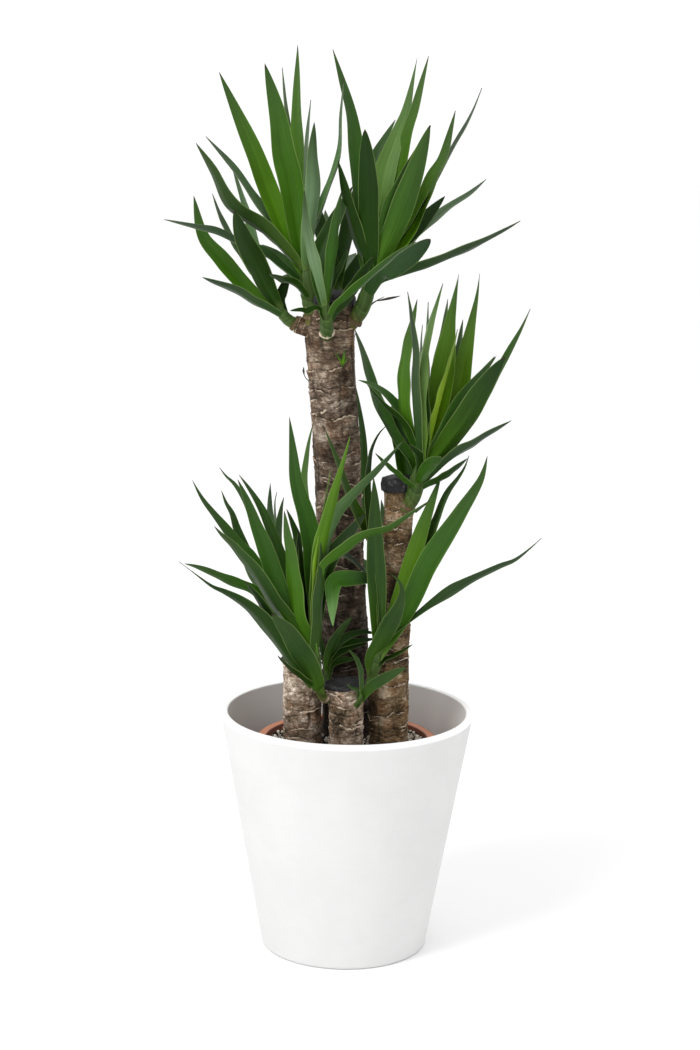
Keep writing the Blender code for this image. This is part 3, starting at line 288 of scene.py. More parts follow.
SHOOTS = (
    Shoot("shoot_far_left", "tall", ((-7.4, 4.2, 87.2), (-8.9, 4.0, 88.0), (-10.4, 3.8, 89.8)), (0.85, 0.75),
          2.3, (
        leaf("C", 2.3, 2, -13, 90.8, -15.5, 93.2, -17.9, 96, -20.3, 99, -21.5, 104.2),
        leaf("M", 1.0, 7, -12.2, 92, -14, 94.3, -15.4, 96.6, -16.8, 99, -18.1, 101.8, -19.0, 104.5),
        leaf("D", 2.9, -8, -11.6, 92, -13, 95, -14.8, 98.5, -16.1, 102.4),
        leaf("K", 1.2, -7, -12.3, 89.6, -14, 90.5, -16.1, 91.8, -18.3, 92.6, -20.3, 93.4),
        leaf("G", 1.2, 8, -11.4, 93, -12.6, 97, -14.2, 102, -16.5, 108.5),
        leaf("D", 1.5, 3, -9.8, 90.3, -9.5, 91.8, -8.7, 93.9),
    )),
    Shoot("shoot_left", "tall", ((-5.5, 4.0, 87.4), (-5.75, 3.6, 90.6), (-6.4, 3.3, 95.0)), (1.0, 1.65), 3.0,
          (
        leaf("B", 2.7, 5, -8.4, 97, -10.1, 101, -12.1, 106, -13.6, 110, -15.8, 115, -18.2, 120.4),
        leaf("C", 3.3, -1, -7.4, 98, -8.7, 106, -9.7, 110, -10.5, 115, -12.2, 121.6),
        leaf("B", 1.0, 9, -7.8, 100, -8.8, 109, -9.4, 115, -9.9, 121.1),
        leaf("B", 1.9, 5, -7.0, 97, -7.5, 110, -7.8, 115, -7.9, 124.0),
        leaf("G", 0.8, 11, -6.8, 100, -6.5, 107, -6.4, 112, -6.1, 117.0),
        leaf("H", 2.1, -6, -6.2, 97, -5.5, 105, -5.7, 110, -5.6, 114.1),
        leaf("G", 0.6, 3, -6.2, 98, -5, 100.8, -3.5, 105.3, -2.1, 109.7, -2.0, 115, -1.8, 119.8),
        leaf("S", 1.9, -5, -8.6, 96.4, -11.1, 99, -13, 100.5, -16.6, 103, -19.1, 107.8, -21.2, 111.1),
        leaf("G", 1.2, 3, -8.4, 96.5, -11, 100.4, -13.7, 104, -16.4, 108, -19.9, 112.0),
        leaf("K", 1.1, -4, -8.2, 93.5, -10.1, 95, -12, 96.5, -15, 97.6, -18.3, 99.3, -20.8, 99.9,
             -25.4, 101.0),
        leaf("M", 1.5, 7, -8.2, 94.5, -10.0, 96.2, -12.4, 97.9),
        leaf("D", 1.1, -9, -7.9, 92.6, -9.5, 93.2, -11.4, 94),
    )),
    Shoot("shoot_front", "tall", ((-3.4, 3.2, 85.2), (-3.6, 0.9, 86.9), (-3.7, -0.4, 90.2)), (0.85, 1.0), 2.2,
          (
        leaf("H", 1.5, -7, -4.3, 90.8, -5.2, 94.2, -6.5, 100, -6.8, 105.2, stalk=0.12),
        leaf("M", 1.5, -4, -3.3, 92, -3.0, 95, -2.6, 100, -1.9, 105),
        leaf("M", 1.0, -12, -2.4, 89.5, -0.9, 90.9, 1.7, 93.3, 4.3, 95.7, 6.1, 97.3, 8.2, 98.6),
        leaf("D", 0.7, -5, -4.9, 89.3, -6.3, 89.0, -7.2, 89.15, -8.5, 89.1),
        leaf("D", 1.0, 2, -3.0, 92.5, -1.6, 95.5, -0.9, 97.5),
        leaf("D", 1.6, -3, -2.6, 88.8, -1.3, 90.4, 0.0, 92.3, 1.2, 94.4, 2.6, 96.6),
        leaf("D", 2.3, 3, -4.7, 94.0, -4.6, 96.6, -3.3, 99.95, -1.8, 103.0, -0.4, 105.8),
    )),
    Shoot("shoot_right", "tall", ((-0.5, 4.2, 87.3), (1.1, 3.6, 89.6), (2.3, 3.4, 93.6)), (1.05, 1.15), 3.1, (
        leaf("M", 2.2, 5, 1.3, 98, 0.3, 105, -0.2, 110, -0.8, 115, -2.2, 120, -3.3, 123.6),
        leaf("D", 2.8, -5, 2.0, 96.8, 1.7, 101.6, 1.6, 106, 1.1, 113.3, slender=-0.4),
        leaf("D", 1.7, -2, 1.6, 95.5, 0.4, 98.5, -0.9, 103, -2.4, 109.2),
        leaf("M", 2.0, 9, 1.4, 98, 1.0, 103, 1.5, 107.2, 2.7, 110, 3.8, 112.1, 5.1, 114.6),
        leaf("R", 3.0, 6, 2.6, 97, 3.1, 101.6, 3.5, 105.1, 4.2, 108.7, 5.7, 113.3, 6.6, 116.1, 7.8, 122.6,
             slender=0.9),
        leaf("C", 1.9, 4.5, 3.1, 98, 3.8, 101.5, 5.7, 107.3, 6.9, 112.9, 7.7, 115.7, 8.4, 118.9, 9.3, 122.9),
        leaf("M", 1.5, -1, 3.4, 98, 5.1, 104, 6.9, 107.8, 8.2, 110.6, 9.8, 113.9),
        leaf("N", 3.15, -3, 3.1, 95.5, 5.2, 100, 7.3, 106, 8.5, 110, 9.7, 114.0),
        leaf("B", 1.9, 5, 4.2, 95, 6.8, 98.5, 8.5, 102, 10.3, 107, 11.7, 110, 13.0, 115.9),
        leaf("K", 0.8, 8, 4.2, 96, 7.6, 101, 10.4, 106, 12.9, 111, 14.5, 114, 15.5, 116.3, 16.4, 118.9),
        leaf("G", 1.3, 13, 4.6, 95.5, 7.4, 98.3, 10.2, 101.1, 12.3, 103, 15.1, 105, 17.3, 107),
        leaf("D", 2.3, 8, 4.2, 95.2, 5.9, 97.8, 8.5, 100.7, 9.9, 102.4, 11.9, 104.7),
        leaf("K", 2.5, -8, 3.3, 94.0, 4.9, 94.7, 7.0, 96.15, 8.7, 97.7, 10.1, 99.0, slender=-0.5),
        leaf("K", 1.1, -4, 3.5, 92.9, 5, 93.6, 7.3, 94.4, 9.9, 95.3, 12.4, 96.4, 15, 97.6, 17.5, 98.9,
             20.1, 100.4, 22.0, 101.6, stalk=0.1),
    )),
    Shoot("shoot_back", "tall", ((-2.6, 7.4, 87.6), (-2.2, 9.6, 89.4), (-2.0, 10.6, 92.6)), (0.9, 0.9), 2.6, (
        leaf("D", 2.2, 7, -3.6, 97, -6.4, 104, -9.4, 110),
        leaf("D", 2.2, 9, -1.4, 97, 0.2, 104, 2.2, 110.5),
        leaf("D", 2.2, 12, 0.4, 95, 4.0, 99, 8.2, 103.2),
        leaf("D", 2.0, 10, -4.6, 94.5, -9.0, 97.6, -13.2, 100.4),
        leaf("M", 2.0, 15, -2.4, 95, -3.4, 99, -4.0, 102.6),
        leaf("M", 1.8, 14, 1.0, 93.4, 4.6, 94.2, 8.6, 95.0),
        leaf("D", 1.8, 13, -4.2, 92.8, -7.0, 93.6, -10.4, 93.4),
        leaf("M", 1.8, 16, -1.8, 93, -1.0, 95.6, 0.2, 97.0),
    )),
    Shoot("shoot_middle", "middle", ((7.3, -1.6, 62.4), (8.5, -2.2, 64.0), (9.7, -2.3, 69.0)), (1.05, 1.2),
          2.9, (
        leaf("K", 1.15, -9, 8.9, 70.5, 8.3, 76.8, 8.2, 80.4, 8.2, 84, 7.7, 88.8, 7.2, 91.9),
        leaf("C", 1.7, -4, 8.6, 70.5, 7.1, 74, 6.6, 78, 6.7, 81.5, 7.2, 85, 7.9, 88, 8.5, 90.9),
        leaf("L", 0.5, 7, 9.3, 74, 9.1, 80, 9.1, 85, 9.3, 87.5),
        leaf("W", 1.25, -6.5, 9.4, 70.5, 9.0, 76.8, 9.1, 80.4, 9.5, 84.1, 10.1, 87, 11.0, 90.1, 11.9, 93.1),
        leaf("S", 0.9, -3, 9.8, 70.5, 9.8, 76, 9.7, 80, 9.9, 84),
        leaf("L", 0.6, 4, 9.7, 76, 9.7, 82, 9.8, 86, 10.0, 90.6),
        leaf("B", 1.4, 9, 10.6, 75, 11.5, 81, 12.1, 85.5, 12.4, 88.5, 12.6, 91.0),
        leaf("V", 3.3, 1, 10.4, 71, 11.2, 74.5, 11.9, 78, 12.5, 82.9, 13.0, 87.7, 13.4, 90.4, 14.0, 94.4,
             slender=1.2),
        leaf("Y", 0.55, -3, 10.5, 70.6, 11.1, 73.4, 11.8, 76.5, 12.5, 79.6, 13.2, 82.6, 13.7, 85.0,
             14.0, 87.0),
        leaf("M", 1.5, 8, 11.2, 74, 13.7, 81, 14.3, 84, 14.5, 86.5, 14.7, 88.3),
        leaf("V", 2.9, 3, 10.8, 70, 12.6, 74, 14.1, 78.1, 15.1, 82.9, 15.9, 87.8, 16.5, 91.5, 16.8, 94.6,
             slender=1.2),
        leaf("E", 3.1, -6, 12.1, 70.2, 13.8, 72.6, 15.6, 75.3, 17.1, 78.0, 18.9, 81, 20.5, 83.4,
             slender=-0.1),
        leaf("M", 1.6, 2, 12.7, 70, 14.7, 72.3, 17.8, 77.6, 19.9, 81.6, 21.2, 84.3, 22.6, 87.2, 23.7, 89.9,
             slender=0.5),
        leaf("M", 1.5, -2, 12.2, 72, 13.8, 75.6, 16.0, 79.1, 17.7, 81.3, 19.3, 83.4),
        leaf("D", 1.2, 6, 12.6, 73.2, 15.9, 78.1, 18.3, 81.0, 20.4, 83.0),
        leaf("D", 2.6, 4, 7.3, 68.2, 6.9, 71.0, 6.3, 74.0, 5.9, 77.6, slender=-0.4, stalk=-0.3,
             root=(7.9, 0.0, 65.6)),
        leaf("M", 1.3, 9, 12.2, 73, 14.5, 76.5, 16, 79, 17.6, 81.3, 19.1, 83.4),
        leaf("K", 1.1, -5, 11.1, 66.9, 13, 68.8, 15, 70.4, 16.5, 71.3, 18.3, 72.6, 20, 73.7, 21.6, 74.7,
             stalk=0.15),
        leaf("D", 0.9, -3, 10.7, 65.6, 12.2, 66.4, 13.8, 67.6, 15.8, 69.4),
        leaf("M", 1.8, -11, 10.6, 68.2, 11.4, 69.0, 12.4, 69.5),
        leaf("D", 1.1, -8, 9.2, 69.2, 8.8, 70.3, 7.9, 71.2),
        leaf("M", 1.55, 8, 7.9, 69, 6.3, 71.2, 4.5, 74.2, 3.2, 77.2, 2.2, 80.3, 1.5, 83, 0.2, 86.8),
        leaf("M", 1.2, 1, 8.6, 70.5, 7.6, 73, 6.3, 75.7, 4.9, 77.6, 3, 79.1, 0.8, 79.9),
        leaf("D", 0.8, -3, 8.7, 70, 7.5, 72.8, 6.4, 74.6, 4.6, 76.2, 2.0, 79.3),
        leaf("M", 0.7, -6, 8.4, 65.4, 7.7, 65.7, 6.2, 67, 4.9, 68.2, 3.3, 69.9),
        leaf("B", 1.6, 12, 10.2, 70, 11.0, 74, 11.6, 78.4),
        leaf("M", 1.5, 11, 8.8, 70, 7.8, 72.5, 6.9, 75.0),
        leaf("M", 1.6, 12, 11.2, 69, 13.6, 71.4, 15.6, 74.0),
    )),
    Shoot("shoot_rear", "middle", ((6.2, 1.2, 43.6), (6.3, 3.0, 45.0), (6.2, 3.9, 48.0)), (0.7, 0.8), 2.2, (
        leaf("M", 1.9, 10, 4.6, 54, 2.4, 61, 1.6, 67, 1.5, 72, 1.0, 76, 0.3, 79.8),
        leaf("M", 1.8, 10, 5.6, 54, 4.9, 59, 4.2, 63.5),
        leaf("D", 1.6, 12, 6.8, 53, 7.5, 57.5, 8.0, 61),
        leaf("M", 1.6, 14, 4.4, 51.5, 1.0, 55, -2.4, 58),
        leaf("M", 1.4, 13, 7.4, 50, 8.7, 51.8, 10.2, 53),
        leaf("D", 1.4, 15, 5.4, 50, 4.0, 51.6, 2.0, 52.2),
    )),
    Shoot("shoot_low_left", "left", ((-7.0, 0.4, 38.6), (-8.2, 1.8, 41.2), (-8.7, 2.2, 45.0)), (0.75, 0.9),
          2.4, (
        leaf("M", 1.6, 2, -11.2, 50.5, -13.7, 55, -15.5, 57, -17.2, 59.2, -18.6, 61, -20.1, 63, -21, 64.6,
             -21.55, 65.75),
        leaf("M", 1.5, 5, -11.6, 51, -14.0, 55.3, -14.8, 57.2, -15.6, 59.2, -16.2, 61.2, -17, 62.7,
             -17.6, 64.4),
        leaf("M", 1.5, 8, -10.8, 52, -12.6, 58, -14.0, 62.2, -15.7, 65.1, -17.0, 66.4, -17.9, 67.6),
        leaf("G", 1.6, 11, -9.9, 52, -10.3, 57, -10.9, 60.5, -11.05, 62.5, -10.95, 65.5),
        leaf("G", 0.7, 13, -9.6, 53, -10.2, 59, -10.35, 62.5, -10.05, 64.3),
        leaf("D", 1.5, 7, -9.5, 51, -9.7, 56, -9.6, 60, -9.4, 62, -9.1, 63.6),
        leaf("D", 1.7, 5, -8.6, 50, -7.4, 54.5, -7.0, 57.5, -7.8, 60, -8.7, 62),
        leaf("M", 1.4, -1, -11.2, 48.4, -13.2, 50.3, -15.1, 51.1, -16.7, 51.8, -18.25, 52.5, -20, 53.3,
             -21.4, 53.8, -22.6, 54.1),
        leaf("M", 1.6, 12, -10.6, 49, -13.0, 52, -14.6, 54.6),
        leaf("D", 1.6, 13, -8.4, 49, -7.2, 52, -6.2, 54.6),
        leaf("M", 1.5, 14, -9.4, 49, -9.6, 52.6, -9.2, 56.4),
        leaf("D", 1.4, 13, -10.2, 46.4, -11.0, 47.0, -11.6, 48.0),
    )),
    Shoot("shoot_low_centre", "front", ((-2.8, -6.3, 35.0), (-3.7, -7.1, 36.1), (-4.3, -7.5, 39.0),
          (-4.9, -7.6, 44.0)), (0.55, 1.05), 2.8, (
        leaf("M", 2.5, -1, -6.4, 44.2, -8.2, 47, -9.6, 50, -10.9, 54, -11.9, 57, -12.8, 59.3, -13.6, 61.6,
             -14.4, 63.7, -15.4, 66.0),
        leaf("M", 1.6, 4, -6.4, 46.2, -8.6, 51.5, -10.2, 56.8, -11.2, 59.5, -12, 61.4, -13, 63.3, -14.2, 65.2,
             -15.2, 66.6),
        leaf("S", 1.9, -4, -7.2, 44.6, -10.1, 48.4, -11.3, 50.3, -12.4, 52.1, -13.5, 53.8, -15, 55.6,
             -16.2, 57, -17.5, 58.2, -18.55, 59.4),
        leaf("C", 2.0, -5, -5.6, 43.6, -7.0, 46.2, -7.6, 50, -7.9, 53, -8.2, 56, -8.6, 58.5, -9.0, 61.7),
        leaf("D", 2.0, -7, -4.9, 36.9, -6.9, 39.4, -8.2, 41.1, -9.5, 42.9, -11.0, 45.0, -12.8, 47.2,
             -15.0, 49.0, -17.1, 50.2, -18.9, 51.0, -21.3, 52.8, -23.4, 54.4, slender=2.0, stalk=-0.35),
        leaf("D", 1.6, -4, -5.9, 38.6, -8.3, 42.1, -10.2, 45.4, -12.3, 49.1, -14.2, 51.7, stalk=-0.45),
        leaf("S", 2.8, -9, -3.9, 36.4, -4.7, 38.4, -5.6, 40.2, -6.6, 41.8, -7.5, 43.3, -8.5, 44.9, -9.6, 46.1,
             -10.6, 47.2),
        leaf("M", 2.6, 1, -4.8, 48, -5.1, 53, -5.3, 57, -6.2, 61.3, -7.0, 63.9, -7.6, 66.5, -7.9, 69.5,
             -8.2, 72.5, -8.45, 74.7),
        leaf("B", 1.5, 6, -4.9, 48, -5.1, 55, -5.6, 61, -6.0, 64, -6.2, 66.5, -6.0, 69, -5.7, 71.5, -5.2, 74),
        leaf("P", 2.0, -6, -4.4, 47, -4.2, 51, -3.8, 55.3, -3.3, 58.8, -2.7, 61.7, -2.05, 64.6, -1.4, 67.3,
             -0.75, 69.8, -0.05, 72.8, slender=0.7),
        leaf("Y", 0.5, -4, -4.4, 50, -4.15, 55.4, -3.85, 58.8, -3.5, 61.6, -3.15, 64.5, -2.7, 68.0,
             slender=0.6),
        leaf("G", 1.7, -4.5, -4.3, 49, -3.7, 53.5, -3.3, 55.7, -2.8, 58.3, -2.2, 60.2, -1.4, 61.8, -0.1, 63.4,
             1.3, 65.0, 2.8, 66.6, 4.7, 68.8, 7.3, 72, stalk=0.4),
        leaf("C", 1.35, -5, -4.4, 46.4, -4.3, 49.5, -3.3, 53.6, -2.0, 55.2, -0.5, 56.4, 1.2, 57.8, 3.0, 58.7,
             5.4, 59.5, 8.3, 61.6, 10.8, 63.5, stalk=0.24),
        leaf("D", 2.5, 4, -4.3, 47, -4.1, 50.5, -3.5, 53.0, -2.5, 55.3, -1.1, 57.3, 0.3, 59.2, 2.3, 61.7),
        leaf("D", 1.3, 5, -4.3, 50, -3.4, 54.4, -1.8, 56.0, -0.1, 55.3, 1.2, 54.3, 2.6, 52.8),
        leaf("D", 1.0, -2, -4.4, 46.6, -4.1, 50.4, -3.4, 53.2, -2.6, 54.6),
        leaf("T", 2.25, -6.2, 2.6, 52.4, 0.9, 52.4, -0.3, 52.3, -1.4, 52.2, -2.0, 51.7, -2.2, 50.7,
             -2.2, 49.0, -2.2, 47.1, -2.1, 45.4, slender=0.8, root=(3.6, -4.3, 52.3)),
        leaf("S", 1.5, -3, -4.3, 41.2, -4.0, 45.0, -3.95, 49.2, -3.75, 54.4, -3.95, 58.0),
        leaf("D", 1.6, 1, -5.1, 41.4, -5.7, 45, -5.9, 48.0, -6.4, 52.8, -7.0, 57.0),
        leaf("D", 0.7, -6, -4.6, 37.0, -6.2, 37.9, -8.2, 39.6, -9.7, 41.3),
        leaf("D", 1.6, 4, -5.4, 47, -6.4, 51, -6.9, 55.5, -7.0, 59),
    )),
    Shoot("shoot_low_right", "front", ((1.6, -4.7, 36.4), (3.1, -4.1, 37.8), (3.8, -4.5, 39.8),
          (4.3, -4.9, 42.6)), (0.5, 0.95), 2.7, (
        leaf("C", 1.6, 3, 4.2, 46, 3.9, 52, 3.0, 57, 2.1, 59.2, 0.6, 62.2, -0.7, 65.2, -1.9, 68.8,
             -3.8, 73.5),
        leaf("S", 2.6, -1, 4.0, 45, 3.8, 50, 3.5, 55, 3.35, 60, 3.3, 63.5, 3.1, 66.6),
        leaf("D", 1.3, 2, 4.3, 47, 3.4, 55, 2.4, 61, 2.1, 65, 2.5, 69.5, 3.1, 71.5, 3.9, 72.9, 5.0, 74.0),
        leaf("V", 2.4, 2, 5.6, 45.5, 7.0, 48.8, 8.3, 53.3, 9.1, 56.3, 10.0, 59.6, 10.8, 62.2, 11.6, 64.8,
             12.3, 67),
        leaf("M", 1.5, 3, 5.8, 45, 8.0, 49.4, 9.9, 54.5, 11.4, 59.3, 12.1, 61.3, 12.7, 63.2, 13.5, 65,
             14.6, 66.6, 15.5, 68.2, 16.0, 69.8),
        leaf("M", 2.9, -3, 5.6, 43.6, 7.5, 47, 9.0, 50.2, 10.5, 54, 11.7, 56.3, 13, 58.4, 14.3, 60.5,
             15.5, 62.6, 16.7, 64.6, 17.7, 66.5, 18.2, 68.2, 18.5, 69.8),
        leaf("S", 2.4, -6, 3.3, 41.0, 4.4, 43.2, 5.6, 45.6, 6.8, 48.2, 7.3, 50.2, 7.1, 51.7, 6.3, 52.7,
             5.2, 53.6, slender=1.8),
        leaf("K", 1.35, -6, 5.4, 43.6, 8.0, 46.0, 10.5, 48.0, 12.8, 49.7, 15.3, 51.3, 17.7, 52.8, 20.7, 54.4,
             22.7, 55.3, 24.7, 57.0, 26.2, 58.5, slender=0.6, stalk=0.42),
        leaf("D", 0.5, -2, 5.0, 40.6, 6.2, 41.3, 7.5, 42.1, 8.9, 43.2),
        leaf("D", 1.3, 0.6, 4.4, 45.0, 4.4, 48.6, 4.0, 51.4, 3.0, 52.4),
    )),
    Shoot("shoot_small_right", "front", ((1.0, -7.0, 33.9), (1.7, -8.2, 34.9), (2.0, -8.7, 36.0)),
          (0.4, 0.42), 1.3, (
        leaf("S", 1.5, -2.5, 3.1, 36.8, 4.6, 37.9, 6.1, 38.8, 7.3, 39.5, 8.1, 39.9),
        leaf("S", 0.6, 0.3, 1.75, 37.6, 1.6, 39.6, 1.0, 41.2, 0.05, 42.4),
        leaf("M", 0.4, -0.8, 1.3, 36.4, 0.6, 36.8, -0.1, 37.4),
    )),
    Shoot("shoot_small_left", "front", ((-1.5, -4.5, 36.2), (-2.7, -3.5, 37.8), (-3.0, -3.3, 39.4)),
          (0.45, 0.48), 1.4, (
        leaf("S", 1.2, -1.5, -2.6, 41.6, -1.7, 43.8, -0.6, 45.6, 0.6, 47.1),
        leaf("D", 0.9, 0.5, -2.2, 41.4, -1.0, 42.8, 1.2, 43.4, 4.0, 44.0),
        leaf("M", 0.8, 2.0, -3.5, 41.6, -3.9, 43.6, -4.0, 45.4),
        leaf("D", 1.1, 1.0, -2.4, 40.7, -0.9, 42.0, 0.8, 42.8, 2.7, 43.3),
        leaf("D", 1.1, 1.5, -2.6, 41.1, -1.4, 42.9, 0.1, 44.2, 2.0, 44.8, 4.0, 44.7),
        leaf("D", 1.0, 0.5, -2.2, 40.1, -0.6, 40.8, 1.1, 41.0),
    )),
)

SPROUT = Shoot("sprout", "tall", ((-1.4, 2.6, 81.5), (-1.37, 1.9, 81.8), (-1.35, 1.6, 82.1)), (0.14, 0.12),
      0.34, (
    leaf("B", 0.34, -0.4, -1.27, 82.5, -1.21, 82.9, -1.12, 84.1),
    leaf("B", 0.26, -0.5, -1.6, 82.3, -1.85, 82.8, -2.4, 83.65),
    leaf("C", 0.24, -0.4, -1.1, 82.2, -0.9, 82.5, -0.6, 82.9),
))


# ---- shader sums


class Wire:
    """One output of a shader node, on which sums can be written."""

    def __init__(self, look, socket):
        self.look = look
        self.socket = socket

    def __add__(self, other):
        return self.look.sum("ADD", self, other)

    def __sub__(self, other):
        return self.look.sum("SUBTRACT", self, other)

    def __rsub__(self, other):
        return self.look.sum("SUBTRACT", other, self)

    def __mul__(self, other):
        return self.look.sum("MULTIPLY", self, other)

    def __abs__(self):
        return self.look.sum("ABSOLUTE", self)

    __radd__ = __add__
    __rmul__ = __mul__


class Look:
    """A node material in the making."""

    def __init__(self, name, shine):
        self.material = bpy.data.materials.new(name)
        self.material.use_nodes = True
        self.nodes = self.material.node_tree.nodes
        self.shader = self.nodes["Principled BSDF"]
        self.shader.inputs["Specular IOR Level"].default_value = shine

    def feed(self, socket, value):
        if isinstance(value, Wire):
            self.material.node_tree.links.new(value.socket, socket)
        else:
            socket.default_value = value

    def node(self, kind, settings=None, output=0, **inputs):
        """A node with its settings made first, then the values or links of its sockets."""
        node = self.nodes.new(f"ShaderNode{kind}")
        for name, value in (settings or {}).items():
            setattr(node, name, value)
        for name, value in inputs.items():
            where = int(name[1:]) if name[0] == "i" and name[1:].isdigit() else name.replace("_", " ")
            self.feed(node.inputs[where], value)
        return Wire(self, node.outputs[output])

    def sum(self, operation, *values):
        inputs = {f"i{k}": value for k, value in enumerate(values)}
        return self.node("Math", {"operation": operation}, **inputs)

    def step(self, value, start, end, low=0.0, high=1.0):
        """A soft step of value from start to end."""
        return self.node("MapRange", {"interpolation_type": "SMOOTHSTEP"}, Value=value,
                         From_Min=start, From_Max=end, To_Min=low, To_Max=high)

    def mix(self, share, first, second, blend="MIX"):
        """Two colours mixed, the second with this share."""
        settings = {"data_type": "RGBA", "blend_type": blend}
        inputs = {"i0": share, "i6": paint(first), "i7": paint(second)}
        return self.node("Mix", settings, output=2, **inputs)

    def scaled(self, colour, factor):
        return self.node("VectorMath", {"operation": "SCALE"}, i0=colour, Scale=factor)

    def place(self, x=1.0, y=1.0, z=1.0):
        """Object coordinates, stretched."""
        spot = self.node("TexCoord", output="Object")
        return self.node("VectorMath", {"operation": "MULTIPLY"}, i0=spot, i1=(x, y, z))

    def noise(self, spot, scale, detail=3.0, rough=0.55, bend=0.0):
        return self.node("TexNoise", Vector=spot, Scale=scale, Detail=detail, Roughness=rough,
                         Distortion=bend)

    def reach(self):
        """The distance from the upright axis."""
        return self.node("VectorMath", {"operation": "LENGTH"}, output=1, i0=self.place(z=0.0))

    def own(self, name, output="Fac"):
        """A value or colour that the mesh carries."""
        return self.node("Attribute", {"attribute_name": name}, output=output)

    def parts(self, vector):
        """The three parts of a vector."""
        spread = self.node("SeparateXYZ", Vector=vector).socket.node
        return [Wire(self, spread.outputs[k]) for k in range(3)]

    def finish(self, colour, roughness, height=None, strength=0.5, depth=0.001):
        """The finished material: its colour, its roughness and the height of its fine relief."""
        self.feed(self.shader.inputs["Base Color"], colour)
        self.feed(self.shader.inputs["Roughness"], roughness)
        if height is not None:
            bump = self.node("Bump", Strength=strength, Distance=depth, Height=height)
            self.feed(self.shader.inputs["Normal"], bump)
        return self.material


def paint(colour):
    """A colour, with its fourth part if it has three."""
    return (*colour, 1.0) if isinstance(colour, tuple) and len(colour) == 3 else colour


def leaf_look():
    """Green blade: fine streaks along it, one half painted lighter than the other as fold shade, a pale
    margin and root, and a brown tip.
    """
    look = Look("yucca_leaf", 0.13)
    across, along, _ = look.parts(look.node("UVMap", {"uv_map": "UVMap"}))
    margin = abs(across - 0.5) * 2.0
    seed = look.own("leaf_seed")

    def drawn_out(wide, long, **grain):
        """Noise along the blade, another on each leaf."""
        return look.noise(look.node("CombineXYZ", X=across * wide, Y=along * long, Z=seed), 1.0, **grain)

    veins = drawn_out(46.0, 2.2, detail=2.0)
    streaks = drawn_out(13.0, 1.3, detail=3.0, rough=0.7)
    broad = drawn_out(3.0, 4.0, detail=2.0)
    # Painted shade of the fold: one half of each blade lighter, the other darker, by a side and strength that
    # differ from leaf to leaf
    uneven = look.noise(look.node("CombineXYZ", X=seed * 9.0), 1.0) - 0.5
    painted_fold_shade = (look.step(across, 0.46, 0.54) - 0.5) * uneven
    rib = look.step(margin, 0.11, 0.0) * look.step(along, 0.9, 0.6)
    patches = look.noise(look.place(), 26.0, detail=2.0)
    shade = 0.20 + 0.40 * veins + 0.66 * streaks + 0.22 * patches + 0.26 * broad
    shade = shade + 1.1 * painted_fold_shade + 0.10 * rib
    colour = look.scaled(look.own("leaf_green", "Color"), shade)
    edge = look.step(margin, 0.90, 0.99) * look.step(along, 0.02, 0.12)
    colour = look.mix(edge * 0.5, colour, (0.21, 0.30, 0.09))
    root = look.step(along, 0.10, 0.0)
    colour = look.mix(root * 0.5, colour, (0.14, 0.21, 0.05))
    tip = look.step(along + 0.012 * broad, 0.972, 0.992)
    colour = look.mix(tip * 0.9, colour, (0.030, 0.020, 0.013))
    roughness = 0.34 + 0.16 * patches + tip * 0.2
    return look.finish(colour, roughness, veins + 0.8 * streaks + 0.4 * patches, strength=0.35, depth=0.0008)


# Each bark's colours from its deepest cracks to its palest flakes
BARKS = {
    "grey_brown": ((0.030, 0.020, 0.013), (0.080, 0.056, 0.038), (0.155, 0.112, 0.080),
                   (0.27, 0.21, 0.16), (0.47, 0.39, 0.31)),
    "tan_brown": ((0.024, 0.015, 0.008), (0.092, 0.060, 0.029), (0.195, 0.132, 0.068),
                  (0.31, 0.22, 0.13), (0.56, 0.44, 0.31)),
    "silver_brown": ((0.030, 0.021, 0.011), (0.120, 0.088, 0.056), (0.255, 0.190, 0.135),
                     (0.44, 0.355, 0.28), (0.82, 0.74, 0.64)),
}
BARK_STEPS = ((0.35, 0.41), (0.43, 0.49), (0.51, 0.57), (0.59, 0.65))
LIP_COLOUR = (0.58, 0.47, 0.36)
GROOVE_COLOUR = (0.022, 0.015, 0.010)
# Heights between which the tall cane goes from painted shade under its leaves to their painted green light,
# where its top turns darker and warmer, and where the low canes turn from painted shade near the soil to
# painted light
SHADED_BARK = (0.44, 0.68)
TOP_BARK = (0.76, 0.83)
LOW_BARK_PAINTED_LIGHT = (0.338, 0.362)


